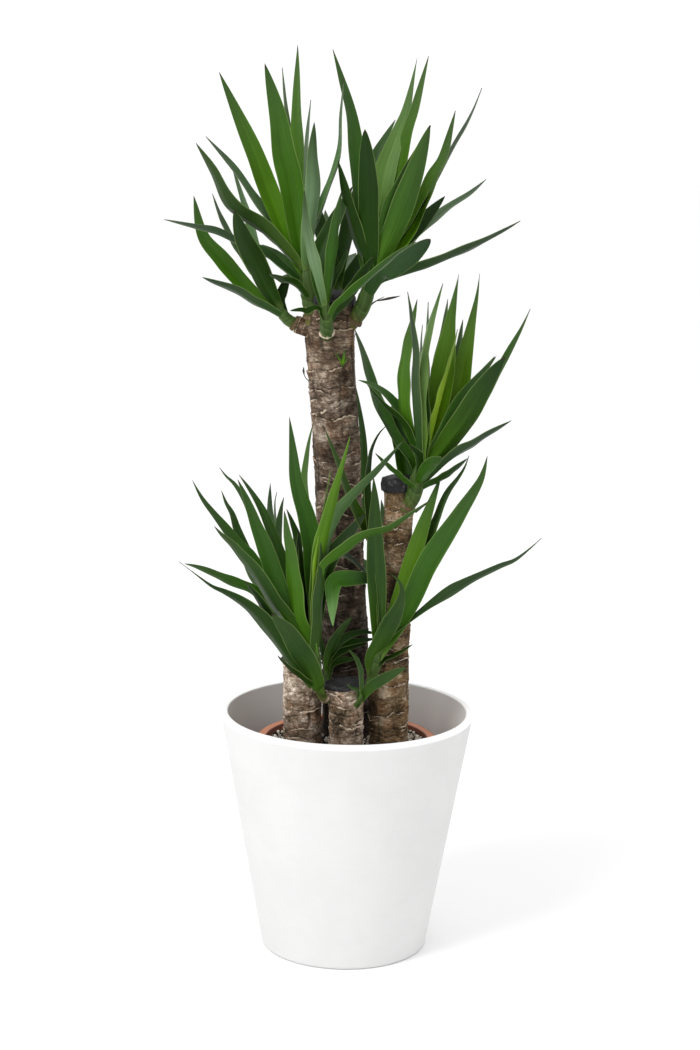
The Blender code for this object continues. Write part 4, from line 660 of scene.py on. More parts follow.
def bark_look(name):
    """Cane bark: mottled browns, wrinkled across, with fine cracks, dark grooves and pale torn lips, and
    painted shade and light by height.
    """
    look = Look(f"bark_{name}", 0.2)
    lip, groove, plate = look.parts(look.own("bark", "Vector"))
    spot = look.place()
    blotch = look.noise(spot, 75.0, detail=5.0, rough=0.68, bend=0.6)
    wrinkle = look.noise(look.place(1.0, 1.0, 3.2), 120.0, detail=5.0, rough=0.7, bend=0.9)
    grain = look.noise(spot, 420.0, detail=3.0, rough=0.7)
    level = blotch * 0.60 + wrinkle * 0.45 + grain * 0.18 + plate * 0.10 - 0.165
    level = level + 0.65 * (look.noise(spot, 30.0, detail=3.0) - 0.5)
    colour = BARKS[name][0]
    for (start, end), shade in zip(BARK_STEPS, BARKS[name][1:]):
        colour = look.mix(look.step(level, start, end), colour, shade)
    rust = look.noise(spot, 40.0, detail=2.0)
    colour = look.mix(look.step(rust, 0.50, 0.66) * 0.5, colour, (1.0, 0.72, 0.52), blend="MULTIPLY")
    cracks = look.step(abs(wrinkle - 0.47), 0.016, 0.003) * look.step(blotch, 0.40, 0.52)
    colour = look.mix(cracks * 0.75, colour, BARKS[name][0])
    colour = look.mix(groove * 0.85, colour, GROOVE_COLOUR)
    colour = look.mix(look.step(lip * (0.6 + 0.9 * grain), 0.25, 0.60), colour, LIP_COLOUR)
    rise = look.parts(spot)[2]
    # Painted shade low on the tall cane, under its leaves, and painted light above it
    if name == "grey_brown":
        colour = look.scaled(colour, look.step(rise + 0.10 * blotch, *SHADED_BARK, low=0.30, high=1.06))
        colour = look.mix(look.step(rise, *TOP_BARK), colour, (0.82, 0.78, 0.72), blend="MULTIPLY")
    # Painted light on the low canes higher up, over painted shade near the soil
    if name == "silver_brown":
        colour = look.scaled(colour, look.step(rise + 0.03 * blotch, *LOW_BARK_PAINTED_LIGHT, low=0.96, high=1.38))
    height = blotch * 0.8 + wrinkle * 1.0 + grain * 0.5 - cracks * 0.3
    return look.finish(colour, 0.95 - 0.12 * lip, height, strength=0.85, depth=0.0024)


def flake_look():
    """Dry papery shreds that stand off the scars, and rings round the stems."""
    look = Look("torn_bark", 0.2)
    grain = look.noise(look.place(1.0, 1.0, 0.3), 420.0)
    tone = look.noise(look.place(), 90.0)
    pale = look.own("paleness")
    pale = look.step(tone * 0.5 + pale * 0.6, 0.38, 0.78)
    colour = look.mix(pale, (0.100, 0.064, 0.034), (0.58, 0.48, 0.36))
    return look.finish(look.scaled(colour, 0.5 + 1.0 * grain), 0.9, grain, strength=0.4)


def wax_look():
    """Black wax over a cut: half gloss, with dull scuffed patches and scratches."""
    look = Look("cut_wax", 0.32)
    cloud = look.noise(look.place(), 110.0, detail=5.0, rough=0.7)
    grain = look.noise(look.place(0.5, 1.6, 1.0), 380.0, detail=3.0, rough=0.7)
    dust = look.step(cloud * 0.55 + grain * 0.5, 0.52, 0.66)
    colour = look.mix(dust * 0.8, (0.008, 0.008, 0.009), (0.085, 0.083, 0.085))
    return look.finish(colour, 0.40 + 0.4 * cloud, cloud + 0.7 * grain, strength=0.9, depth=0.0022)


def soil_look():
    """Peaty potting soil, near black, with brown fibres."""
    look = Look("potting_soil", 0.25)
    spot = look.place()
    cloud = look.noise(spot, 95.0, detail=5.0, rough=0.7)
    grit = look.noise(spot, 520.0, detail=3.0, rough=0.7)
    fibre = look.noise(look.place(1.0, 0.2, 1.0), 480.0, bend=1.5)
    colour = look.mix(look.step(cloud, 0.35, 0.7), (0.006, 0.0045, 0.0035), (0.040, 0.027, 0.018))
    colour = look.mix(look.step(fibre, 0.62, 0.72) * 0.7, colour, (0.13, 0.085, 0.05))
    return look.finish(colour, 0.95, cloud + 0.6 * grit, strength=0.9, depth=0.003)


def perlite_look():
    """Puffed white grains, some stained by the soil."""
    look = Look("perlite", 0.4)
    pores = look.noise(look.place(), 900.0, detail=3.0, rough=0.7)
    stain = look.noise(look.place(), 120.0)
    colour = look.mix(look.step(stain, 0.42, 0.60) * 0.75, (0.90, 0.86, 0.78), (0.50, 0.38, 0.26))
    return look.finish(look.scaled(colour, 0.75 + 0.4 * pores), 0.9, pores, strength=0.6)


def planter_look():
    """Matte off-white stoneware: soft clouds, faint trowel marks round it, fine pores, an inner wall painted
    lighter on the right as lit, and a lip painted brighter as lit.
    """
    look = Look("planter_stone_white", 0.35)
    spot = look.place()
    cloud = look.noise(spot, 9.0, detail=4.0, rough=0.6, bend=0.8)
    sweep = look.noise(look.place(1.0, 1.0, 3.5), 26.0, detail=4.0, rough=0.65)
    pores = look.noise(spot, 620.0, detail=2.0)
    tone = look.step(cloud * 0.7 + sweep * 0.3, 0.36, 0.66)
    colour = look.mix(tone, (0.665, 0.665, 0.662), (0.695, 0.695, 0.692))
    x, _, height = look.parts(spot)
    outer = height * PLANTER_SLOPE + PLANTER_BASE_RADIUS
    inside = look.step(look.reach() - outer, -0.0084, -0.0092)
    # The inner wall: a little darker and warmer, and painted lighter towards the right, as lit from the left
    right = look.step(x, -0.06, 0.10)
    colour = look.mix(inside, colour, look.mix(right, (0.64, 0.625, 0.610), (0.86, 0.845, 0.830)))
    # The lip's top and outer round are painted brighter, as lit from above
    rim = look.step(height, PLANTER_HEIGHT - 0.008, PLANTER_HEIGHT - 0.003) * (1.0 - inside)
    colour = look.mix(rim, colour, (0.96, 0.96, 0.96))
    colour = look.mix(look.step(pores, 0.68, 0.76) * 0.12, colour, (0.58, 0.575, 0.565))
    return look.finish(colour, 0.55 + 0.15 * sweep, sweep + 0.35 * pores, strength=0.10, depth=0.0010)


def pot_look():
    """Moulded terracotta plastic, with painted light on its flat rim and painted shade on its inner wall."""
    look = Look("terracotta_plastic", 0.5)
    spot = look.place()
    cloud = look.noise(spot, 38.0, detail=3.0)
    rings = look.noise(look.place(0.12, 0.12, 14.0), 60.0, detail=2.0)
    grit = look.noise(spot, 700.0, detail=2.0)
    height = look.parts(spot)[2]
    rim = look.step(height, POT_HIGH[2] - 0.0028, POT_HIGH[2] - 0.0008)
    colour = look.mix(cloud, (0.40, 0.115, 0.050), (0.52, 0.165, 0.072))
    # Painted shade on the inner wall, and painted light on the flat rim
    wall = look.step(look.reach(), POT_MOUTH_RADIUS + 0.0022, POT_MOUTH_RADIUS + 0.0004)
    colour = look.scaled(colour, 1.0 - 0.5 * wall)
    colour = look.mix(rim * (1.0 - wall) * 0.6, colour, (0.66, 0.28, 0.16))
    colour = look.mix(look.step(grit, 0.64, 0.72) * 0.3, colour, (0.30, 0.16, 0.10))
    return look.finish(colour, 0.45 + 0.2 * cloud, rings + 0.3 * grit, strength=0.2, depth=0.0006)


def twig_look():
    """Dry, nearly black wood."""
    look = Look("dry_twig", 0.3)
    grain = look.noise(look.place(), 260.0)
    colour = look.mix(grain, (0.014, 0.012, 0.009), (0.055, 0.045, 0.032))
    return look.finish(colour, 0.8, grain, strength=0.3)


# ---- shapes


def dress(piece, look):
    """Finishes a piece: its look and its body."""
    piece.data.materials.clear()
    piece.data.materials.append(look)
    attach(piece, "root")


def stand_for(piece, node, look):
    """Finishes a piece that stands for a CAD node."""
    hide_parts(node)
    dress(piece, look)


def seen(x, z, y):
    """The point at depth y that shows at (x, z) on the plane y = 0; centimetres in, metres out."""
    on_plane = Vector((x * CM, 0, z * CM))
    return EYE + (on_plane - EYE) * ((y * CM - EYE.y) / -EYE.y)


def seen_all(points):
    """The places of points (x, y, z), given as seen."""
    return [seen(x, z, y) for x, y, z in points]


def smooth_path(points, count):
    """Points spaced evenly along a smooth curve through the given ones."""
    points = np.array([tuple(p) for p in points])
    ends = np.vstack([2 * points[0] - points[1], points, 2 * points[-1] - points[-2]])
    dense = []
    for a, b, c, d in zip(ends, ends[1:], ends[2:], ends[3:]):
        for t in np.linspace(0, 1, PATH_STEPS, endpoint=False):
            dense.append(0.5 * (2 * b + (c - a) * t + (2 * a - 5 * b + 4 * c - d) * t**2
                                + (3 * b - a - 3 * c + d) * t**3))
    dense.append(points[-1])
    dense = np.array(dense)
    reach = np.concatenate([[0], np.cumsum(np.linalg.norm(np.diff(dense, axis=0), axis=1))])
    at = np.linspace(0, reach[-1], count)
    return [Vector([np.interp(s, reach, dense[:, k]) for k in range(3)]) for s in at]


def coordinates(mesh):
    """The mesh's points, one row each."""
    flat = np.empty(len(mesh.vertices) * 3)
    mesh.vertices.foreach_get("co", flat)
    return flat.reshape(-1, 3)


def set_coordinates(mesh, points):
    mesh.vertices.foreach_set("co", np.asarray(points, dtype=float).ravel())
    mesh.update()


def smooth(degrees):
    """Rounds the shading of the selected object, but for edges sharper than this."""
    bpy.ops.object.shade_smooth_by_angle(angle=radians(degrees))


def thicken(obj, thickness, offset=-1.0):
    """Turns a sheet into a closed wall."""
    wall = obj.modifiers.new("wall", "SOLIDIFY")
    wall.thickness = thickness
    wall.offset = offset
    bpy.ops.object.modifier_apply(modifier=wall.name)


def carry(mesh, name, kind, values):
    """Stores one value, vector or colour for each point of a mesh."""
    layer = mesh.attributes.new(name, kind, "POINT")
    field = {"FLOAT": "value", "FLOAT_VECTOR": "vector", "FLOAT_COLOR": "color"}[kind]
    layer.data.foreach_set(field, np.asarray(values, dtype=float).ravel())


def carry_green(mesh, greens, seed):
    """Stores a leaf's or stem's greens, a row for each point, and the seed of its streaks."""
    carry(mesh, "leaf_green", "FLOAT_COLOR", np.column_stack([greens, np.ones(len(greens))]))
    carry(mesh, "leaf_seed", "FLOAT", np.full(len(greens), seed))


def join(parts, name):
    """One object of several, named; the first one takes the rest in."""
    bpy.ops.object.select_all(action="DESELECT")
    for part in parts:
        part.select_set(True)
    bpy.context.view_layer.objects.active = parts[0]
    bpy.ops.object.join()
    parts[0].name = name
    parts[0].data.name = name
    return parts[0]


def placed(name, data):
    """A new object in the scene."""
    obj = bpy.data.objects.new(name, data)
    bpy.context.scene.collection.objects.link(obj)
    return obj


def plain_tube(around, rows):
    """A closed tube, a unit in radius and in height: a circle raised in even rows. It is left selected."""
    bpy.ops.object.select_all(action="DESELECT")
    bpy.ops.mesh.primitive_circle_add(vertices=around, radius=1)
    tube = bpy.context.object
    rise = tube.modifiers.new("rise", "SCREW")
    rise.angle = 0
    rise.screw_offset = 1
    rise.steps = rows
    rise.render_steps = rows
    bpy.ops.object.modifier_apply(modifier=rise.name)
    bpy.ops.object.mode_set(mode="EDIT")
    bpy.ops.mesh.select_all(action="SELECT")
    bpy.ops.mesh.fill_holes(sides=0)
    bpy.ops.mesh.select_all(action="SELECT")
    bpy.ops.mesh.normals_make_consistent(inside=False)
    bpy.ops.object.mode_set(mode="OBJECT")
    return tube


# ---- leaves


def blade_width(s, full=0.5, stalk=0.0):
    """Share of the full width at a share s of the length: a narrower root, and a long taper to a point.

    A plain leaf (full is 0) runs straight to its tip, a short broad one (1) keeps its width for longer, and
    below 0 the taper starts early and ends in a long thin tip.
    """
    if s < WIDEST_AT:
        root = ROOT_WIDTH - stalk
        return root + (1 - root) * sin(pi / 2 * s / WIDEST_AT) ** (1 + 6 * max(stalk, 0.0))
    u = (s - WIDEST_AT) / (1 - WIDEST_AT)
    return max((1 - u) ** (1 - 0.25 * full) * (1 + 0.15 * u + 0.45 * u * full), 0.02 * (1 - u) + 0.012)


def model_blade():
    """A straight blade, a unit long and a unit wide, from which every leaf is copied."""
    bpy.ops.mesh.primitive_grid_add(x_subdivisions=BLADE_ACROSS, y_subdivisions=BLADE_ALONG, size=1,
                                    location=(0, 0.5, 0))
    blade = bpy.context.object
    bpy.ops.object.transform_apply(location=True, rotation=False, scale=False)
    bpy.ops.object.mode_set(mode="EDIT")
    bpy.ops.mesh.select_mode(type="VERT")
    grid = bmesh.from_edit_mesh(blade.data)
    for row in range(BLADE_ALONG + 1):
        s = row / BLADE_ALONG
        for v in grid.verts:
            v.select = abs(v.co.y - s) < 0.2 / BLADE_ALONG
        bpy.ops.transform.resize(value=(blade_width(s), 1, 1), center_override=(0, s, 0))
    bpy.ops.object.mode_set(mode="OBJECT")
    thicken(blade, 1, offset=0)
    smooth(40)
    return blade


def leaf_spots(shoot, leaf, rank):
    """The points that a leaf runs through, from inside its stem to its tip."""
    stem = smooth_path(seen_all(shoot.stem), STEM_SPOTS)[LEAFY_SPOTS]
    start_z = seen(*leaf.points[0], shoot.stem[-1][1]).z
    below = [p for p in stem if p.z < start_z - ROOT_BELOW] or stem[:1]
    root = below[-1] if rank % 2 else below[max(len(below) - 2, 0)]
    out = seen(*leaf.points[0], root.y / CM + leaf.far * ROOT_LEAN) - root
    root = root + out.normalized() * (ROOT_OFFSET * shoot.radii[1] * CM)
    if leaf.root:
        root, = seen_all([leaf.root])
    flat = [EYE + (root - EYE) * (-EYE.y / (root.y - EYE.y))]
    flat += [Vector((x * CM, 0, z * CM)) for x, z in leaf.points]
    reach = np.concatenate([[0], np.cumsum([(b - a).length for a, b in zip(flat, flat[1:])])])
    spots = [root]
    for s, (x, z) in zip(reach[1:] / reach[-1], leaf.points):
        spots.append(seen(x, z, root.y / CM + leaf.far * s**DEPTH_CURVE))
    return spots


def direction(path, i):
    """The way a path runs at its point i."""
    return (path[min(i + 1, len(path) - 1)] - path[max(i - 1, 0)]).normalized()


def leaf_frame(shoot, leaf, spots, length):
    """A leaf's width, and its fine line with the directions across and up at each of the blade's rows.

    Its upper side faces up the shoot, and it is turned so far that its seen width is as measured.
    """
    width = max(leaf.width * 1.03, min(shoot.blade, 0.6 + length / CM * 0.1)) * CM
    share = min(leaf.width * CM / width, SEEN_MOST)
    low, high = seen_all(shoot.stem[-2:])
    axis = (high - low).normalized() + Vector((0, 0, 1))
    line = smooth_path(spots, BLADE_ALONG + 1)
    views = []
    for i, p in enumerate(line):
        along = direction(line, i)
        view = (p - EYE).normalized()
        away = (view - along * view.dot(along)).normalized()
        views.append((p, along, away, along.cross(away)))
    toward = 1 if sum(axis.dot(away) for _, _, away, _ in views) > 0 else -1
    tilt = 1 if sum(axis.dot(side) for _, _, _, side in views) > 0 else -1
    rows = []
    for p, along, away, side in views:
        normal = away * (toward * share) + side * (tilt * sqrt(1 - share * share))
        rows.append((p, along.cross(normal), normal))
    return width, rows


def lay_leaf(blade, shoot, leaf, rank, dice):
    """A copy of the blade, carried onto the leaf's own line, turned, channelled and waved."""
    spots = leaf_spots(shoot, leaf, rank)
    length = sum((b - a).length for a, b in zip(spots, spots[1:]))
    width, rows = leaf_frame(shoot, leaf, spots, length)
    line, side, normal = (np.array([tuple(row[k]) for row in rows]) for k in range(3))
    mesh = blade.data.copy()
    points = coordinates(mesh)
    row = np.rint(points[:, 1] * BLADE_ALONG).astype(int)
    s = row / BLADE_ALONG
    full = float(np.clip(1.6 - length / width / 9, 0, 1)) - leaf.slender
    steps = np.arange(BLADE_ALONG + 1) / BLADE_ALONG
    reach = points[:, 0] * 2 / np.array([blade_width(step) for step in steps])[row]
    half = width / 2 * np.array([blade_width(step, full, leaf.stalk) for step in steps])[row]
    if leaf.root:
        half = half * np.sqrt(1.02 - np.clip(1 - s / ROUND_END, 0, 1)**2)
    across = reach * half
    open_z = BLADE_FOLD * (1.9 - 1.5 * s) * half * (np.sqrt(reach**2 + 0.01) - 0.1)
    stem = shoot.radii[1] * CM
    bend = np.clip(across / stem, -1.6, 1.6)
    clasp = np.clip(1 - s / CLASP_END, 0, 1) ** 1.5 * (0.0 if leaf.root else 1.0)
    x = clasp * stem * np.sin(bend) + (1 - clasp) * across
    z = clasp * stem * (1 - np.cos(bend)) + (1 - clasp) * open_z
    waves, phase, lag = dice.uniform(2.5, 4.5), dice.uniform(0, tau), dice.uniform(0.6, 2.4)
    swing = np.sin(tau * waves * s + phase + lag * np.sign(reach)) * np.sin(pi * s)
    z = z + BLADE_WAVE * half * reach**2 * swing
    thick = (BLADE_EDGE + (BLADE_THICK - BLADE_EDGE) * (1 - reach**2)) * (1.25 - 0.6 * s)
    z = z + points[:, 2] * thick
    set_coordinates(mesh, line[row] + side[row] * x[:, None] + normal[row] * z[:, None])
    tone = np.array(TONES[leaf.tone]) * dice.uniform(0.9, 1.1) * dice.uniform(0.96, 1.04, 3)
    greens = np.column_stack([np.interp(s, TONE_PLACES, tone[:, k]) for k in range(3)])
    carry_green(mesh, greens, dice.uniform(0, 40))
    return placed("leaf", mesh)


def model_stem(shoot):
    """The shoot's stem, ringed by the sheaths of its leaves."""
    stem = plain_tube(STEM_AROUND, STEM_ROWS)
    path = smooth_path(seen_all(shoot.stem), STEM_ROWS + 1)
    low, high = (r * CM for r in shoot.radii)
    unit = coordinates(stem.data)
    moved = []
    shades = []
    for x, y, z in unit:
        i = round(z * STEM_ROWS)
        along = direction(path, i)
        side = along.cross(Vector((0, 1, 0))).normalized()
        sheath = (z * STEM_SHEATHS + 0.6 * sin(atan2(y, x) + 7 * z + low * 900)) % 1
        r = (low + (high - low) * z) * (0.95 + 0.07 * sheath) * (1 - 0.75 * z**6)
        moved.append(path[i] + side * (x * r) + along.cross(side) * (y * r))
        shades.append(0.66 + 0.4 * min(1.0, sheath * 2) + 5 * max(0.0, sheath - 0.88))
    set_coordinates(stem.data, moved)
    smooth(50)
    foot = np.clip(1 - unit[:, 2] / 0.35, 0, 1)[:, None] * STEM_BROWN.get(shoot.name, 0.5)
    greens = (foot * STEM_FOOT_TONE + (1 - foot) * STEM_TONE) * np.array(shades)[:, None]
    carry_green(stem.data, greens, shoot.radii[0])
    layer = stem.data.uv_layers.get("UVMap") or stem.data.uv_layers.new(name="UVMap")
    for loop, spot in zip(stem.data.loops, layer.data):
        x, _, z = unit[loop.vertex_index]
        spot.uv = (0.5 + 0.3 * x, 0.05 + 0.25 * z)
    return stem


def grow(shoot, blade, dice):
    """A leafy shoot as one piece: its stem and its leaves."""
    parts = [model_stem(shoot)]
    parts += [lay_leaf(blade, shoot, leaf, i, dice) for i, leaf in enumerate(shoot.leaves)]
    return join(parts, shoot.name.replace("shoot", "leaves"))


def make_shoots():
    """All the leafy shoots, and the sprout on the tall cane."""
    dice = np.random.default_rng(11)
    blade = model_blade()
    green = leaf_look()
    for shoot in SHOOTS:
        stand_for(grow(shoot, blade, dice), shoot.name, green)
    dress(grow(SPROUT, blade, dice), green)
    bpy.data.objects.remove(blade)


# ---- canes


def level_side(along):
    """The direction across a line that comes nearest to +X."""
    return (Vector((1, 0, 0)) - along * along.x).normalized()


def cane_frames(cane, count):
    """Points up the middle of a cane from just under the soil, with two directions across it."""
    rings = [seen(x, z, cane.depth) for x, z, _ in cane.rings]
    along = (rings[1] - rings[0]).normalized()
    first = rings[0] + along * ((SOIL_LEVEL - CANE_SINK - rings[0].z) / along.z)
    path = smooth_path([first] + [p for p in rings if p.z > first.z + 0.01], count)
    heights = [p.z for p in rings]
    radii = [r * CM for _, _, r in cane.rings]
    frames = []
    for i, p in enumerate(path):
        along = direction(path, i)
        side = level_side(along)
        frames.append((p, side, along.cross(side), float(np.interp(p.z, heights, radii))))
    return frames


def throw_scars(rise, dice):
    """Leaf scars up a cane, each a crescent part of the way round it."""
    scars = []
    height = -0.01
    while height < rise + 0.02:
        facing, span = dice.uniform(0, tau), dice.uniform(*SCAR_SPANS)
        droop, torn = dice.uniform(-SCAR_DROOP, SCAR_DROOP), dice.uniform(0.1, 1)
        scars.append(Scar(height, facing, span, droop, torn, dice.uniform(0, 1)))
        height += dice.uniform(*SCAR_GAPS)
    return scars


def scar_line(scar, turn):
    """The height of a scar where it has turned this far from the angle that it faces."""
    return scar.height + scar.droop * cos(turn * 1.5) + (scar.tone - 0.5) * SCAR_TILT * sin(turn)


def scar_shape(scars, first, t, angle, jag, rag):
    """How far the scars near a point lift the bark there, and its marks: lip, groove and tone."""
    lift, lip, groove, tone = 0.0, 0.0, 0.0, 0.5
    for scar in scars[max(first - 3, 0):first + 3]:
        turn = (angle - scar.facing + pi) % tau - pi
        strength = min(1.0, (scar.span - abs(turn)) / 0.5)
        if strength <= 0:
            continue
        above = t + jag - scar_line(scar, turn)
        torn = scar.torn * rag * strength
        if above < 0:
            lift += SCAR_LIP * exp(above / 0.0035) * strength * (0.35 + 0.8 * torn)
            lip = max(lip, (1 + above / 0.0026) * min(1.0, max(0.0, torn - 0.22) * 2.6))
        else:
            lift -= SCAR_GROOVE * exp(-above / 0.0015) * strength
            groove = max(groove, (1 - above / 0.0030) * strength)
            tone = scar.tone if above < 0.012 else tone
    return lift, lip, groove, tone


def make_cane(cane, dice):
    """A cane's bark: wrinkled and lumpy between crescent scars, each with a torn lip over a groove."""
    rise = seen(*cane.rings[-1][:2], cane.depth).z - SOIL_LEVEL + CANE_SINK
    rows = round(rise / BARK_ROW)
    frames = cane_frames(cane, rows + 1)
    scars = throw_scars(rise, dice)
    heights = [scar.height for scar in scars]
    seed = dice.uniform(0, 90)
    bark = plain_tube(BARK_AROUND, rows)
    points = []
    marks = []
    for c, s, height in coordinates(bark.data):
        p, side, other, radius = frames[round(height * rows)]
        t = height * rise
        slow = noise.noise((c * 1.5 + seed, s * 1.5, t * 26))
        jag = noise.noise((c * 6 + seed, s * 6, t * 70))
        fine = noise.noise((c * 14, s * 14 + seed, t * 420))
        wave = BARK_WANDER[0] * slow + BARK_WANDER[1] * jag
        rag = max(0.0, 0.45 + 1.7 * noise.noise((c * 1.5, s * 1.5 + seed, t * 70)))
        lift, lip, groove, tone = scar_shape(scars, bisect_right(heights, t), t, atan2(s, c), wave, rag)
        crack = max(0.0, noise.noise((c * 5 + 7, s * 5 + seed, t * 24)) - 0.42)
        broad = noise.noise((c * 2, s * 2, t * 24 + seed))
        lump = BARK_LUMPS[0] * broad + BARK_LUMPS[1] * jag + BARK_LUMPS[2] * fine
        points.append(p + (side * c + other * s) * (radius + lift + lump - CRACK_DEPTH * crack))
        marks.append((max(lip, 0.0), min(groove + crack * 3.5, 1.0), tone))
    set_coordinates(bark.data, points)
    carry(bark.data, "bark", "FLOAT_VECTOR", marks)
    smooth(60)
    if cane.name == "tall":
        bark = join([bark, model_knob()], bark.name)
    bark.name = f"bark_{cane.name}"
    stand_for(bark, f"cane_{cane.name}", bark_look(cane.bark))
    return frames, scars, rise


def model_knob():
    """The short branch on the tall cane's left side, which carries its outermost shoot."""
    knob = plain_tube(KNOB_AROUND, KNOB_ROWS)
    low, high = seen_all(KNOB)
    along = (high - low).normalized()
    side = level_side(along)
    other = along.cross(side)
    points = []
    marks = []
    for c, s, height in coordinates(knob.data):
        rough = noise.noise((c * 2.5, s * 2.5, height * 6))
        fine = noise.noise((c * 8, s * 8, height * 22))
        r = KNOB_RADIUS * CM * (1 + 0.10 * rough + 0.05 * fine)
        points.append(low + (high - low) * height + (side * c + other * s) * r)
        ring = (height * 4 + 0.3 * rough) % 1
        marks.append((max(0.0, ring - 0.75) * 4, max(0.0, 0.15 - ring) * 5, 0.5 + 0.5 * rough))
    set_coordinates(knob.data, points)
    carry(knob.data, "bark", "FLOAT_VECTOR", marks)
    smooth(60)
    return knob


def model_shred():
    """A curled ragged strip of dry bark, two units wide and one tall."""
    bpy.ops.mesh.primitive_grid_add(x_subdivisions=5, y_subdivisions=3, size=2)
    shred = bpy.context.object
    points = coordinates(shred.data)
    x, y = points[:, 0], (points[:, 1] + 1) / 2
    ragged = 1 + 0.35 * np.sin(9 * x + 1) - 0.2 * np.cos(4 * x)
    set_coordinates(shred.data, np.stack([x, y * ragged, 0.35 * y**2 - 0.12 * x**2], axis=1))
    thicken(shred, 0.12)
    smooth(50)
    return shred


def make_shreds(cane, frames, scars, rise, dice, look):
    """Torn strips on the cane's scars, and a dry collar round the foot of each of its stems."""
    pattern = model_shred()
    last = len(frames) - 1
    parts = []
    for scar in scars:
        if not CANE_SINK < scar.height < rise - 0.012:
            continue
        for _ in range(SHREDS_PER_SCAR[cane.name]):
            turn = dice.uniform(-scar.span, scar.span)
            a = scar.facing + turn
            height = scar_line(scar, turn) + dice.uniform(-0.002, 0.001)
            p, side, other, radius = frames[min(round(height / rise * last), last)]
            up = side.cross(other)
            out = side * cos(a) + other * sin(a)
            lean = dice.uniform(-0.2, 0.7)
            rise_way = (up + out * lean + up.cross(out) * dice.uniform(-0.9, 0.9)).normalized()
            across = rise_way.cross(out).normalized()
            size = Vector((dice.uniform(*SHRED_WIDTHS), dice.uniform(*SHRED_HEIGHTS), SHRED_CURL))
            parts.append(copied(pattern, p + out * (radius + 0.0004), across, rise_way, size))
            pale = np.full(len(pattern.data.vertices), dice.uniform(0.1, 1))
            carry(parts[-1].data, "paleness", "FLOAT", pale)
    parts += [model_collar(shoot) for shoot in SHOOTS if shoot.cane == cane.name]
    bpy.data.objects.remove(pattern)
    shreds = join(parts, f"shreds_{cane.name}")
    dress(shreds, look)


def copied(pattern, centre, across, upward, size):
    """A copy of a small pattern with its own mesh, set down at a place, turned and scaled."""
    turn = Matrix((across, upward, across.cross(upward))).transposed()
    mesh = pattern.data.copy()
    mesh.transform(Matrix.Translation(centre) @ (turn @ Matrix.Diagonal(size)).to_4x4())
    return placed("copy", mesh)


def model_collar(shoot):
    """A ragged dry ring where a stem leaves the bark, thin at its upper edge."""
    collar = plain_tube(COLLAR_AROUND, COLLAR_ROWS)
    foot, top = seen_all(shoot.stem[:2])
    along = (top - foot).normalized()
    side = along.cross(Vector((0, 1, 0))).normalized()
    start = foot + (top - foot) * COLLAR_PLACE.get(shoot.name, 0.35)
    radius = shoot.radii[0] * CM
    points = []
    for c, s, height in coordinates(collar.data):
        ragged = noise.noise((c * 3, s * 3, shoot.radii[0] * 9))
        jag = noise.noise((c * 9, s * 9, shoot.radii[0] * 9))
        r = radius * (1.26 - 0.16 * height**2 + 0.16 * ragged) + 0.0007 * jag
        lift = (height - 0.6) * 0.0045 + (0.0022 * ragged + 0.0014 * jag) * height
        points.append(start + (side * c + along.cross(side) * s) * r + along * lift)
    set_coordinates(collar.data, points)
    carry(collar.data, "paleness", "FLOAT", np.full(len(points), COLLAR_PALE.get(shoot.name, 0.25)))
    smooth(50)
    return collar


def make_cap(cane, frames, look):
    """The wax cap: a lumpy lid, dripped a little way down round the cane."""
    p, side, other, radius = frames[-1]
    up = side.cross(other)
    outer, height = radius + CAP_THICKNESS, cane.cap * CM
    foot = -cane.skirt
    profile = [(radius * 0.96, foot + 0.05), (outer * 0.98, foot), (outer * 1.01, foot + 0.05)]
    profile += [(outer * r, h) for r, h in CAP_SIDE]
    fine = smooth_path([(r, 0, h * height) for r, h in profile], CAP_ROWS + 1)
    cap = plain_tube(CAP_AROUND, CAP_ROWS)
    seed = 3.0 * len(cane.name)
    points = []
    for c, s, share in coordinates(cap.data):
        r, _, h = fine[round(share * CAP_ROWS)]
        spot = Vector((c * r, s * r, h)) / 0.012 + Vector((seed, 0, 0))
        lump = 0.0013 * noise.noise(spot) + 0.0007 * noise.noise(spot * 3.1) + 0.0003 * noise.noise(spot * 7)
        drip = 0.0022 * noise.noise((c * 2.2 + seed, s * 2.2, 0)) * max(0.0, 1 - share * 5)
        points.append(p + (side * c + other * s) * (r + lump) + up * (h + 0.7 * lump + drip))
    set_coordinates(cap.data, points)
    smooth(60)
    cap.name = f"wax_{cane.name}"
    stand_for(cap, f"wax_cap_{cane.name}", look)


def make_canes():
    """The canes' bark, shreds and wax caps."""
    dice = np.random.default_rng(5)
    shred, wax = flake_look(), wax_look()
    for cane in CANES:
        frames, scars, rise = make_cane(cane, dice)
        make_shreds(cane, frames, scars, rise, dice, shred)
        make_cap(cane, frames, wax)


# ---- pots and soil


def arc(centre, radius, start, end, steps):
    """Points (r, z) on an arc, angles in radians."""
    turns = (start + (end - start) * i / steps for i in range(steps + 1))
    return [(centre[0] + radius * cos(a), centre[1] + radius * sin(a)) for a in turns]


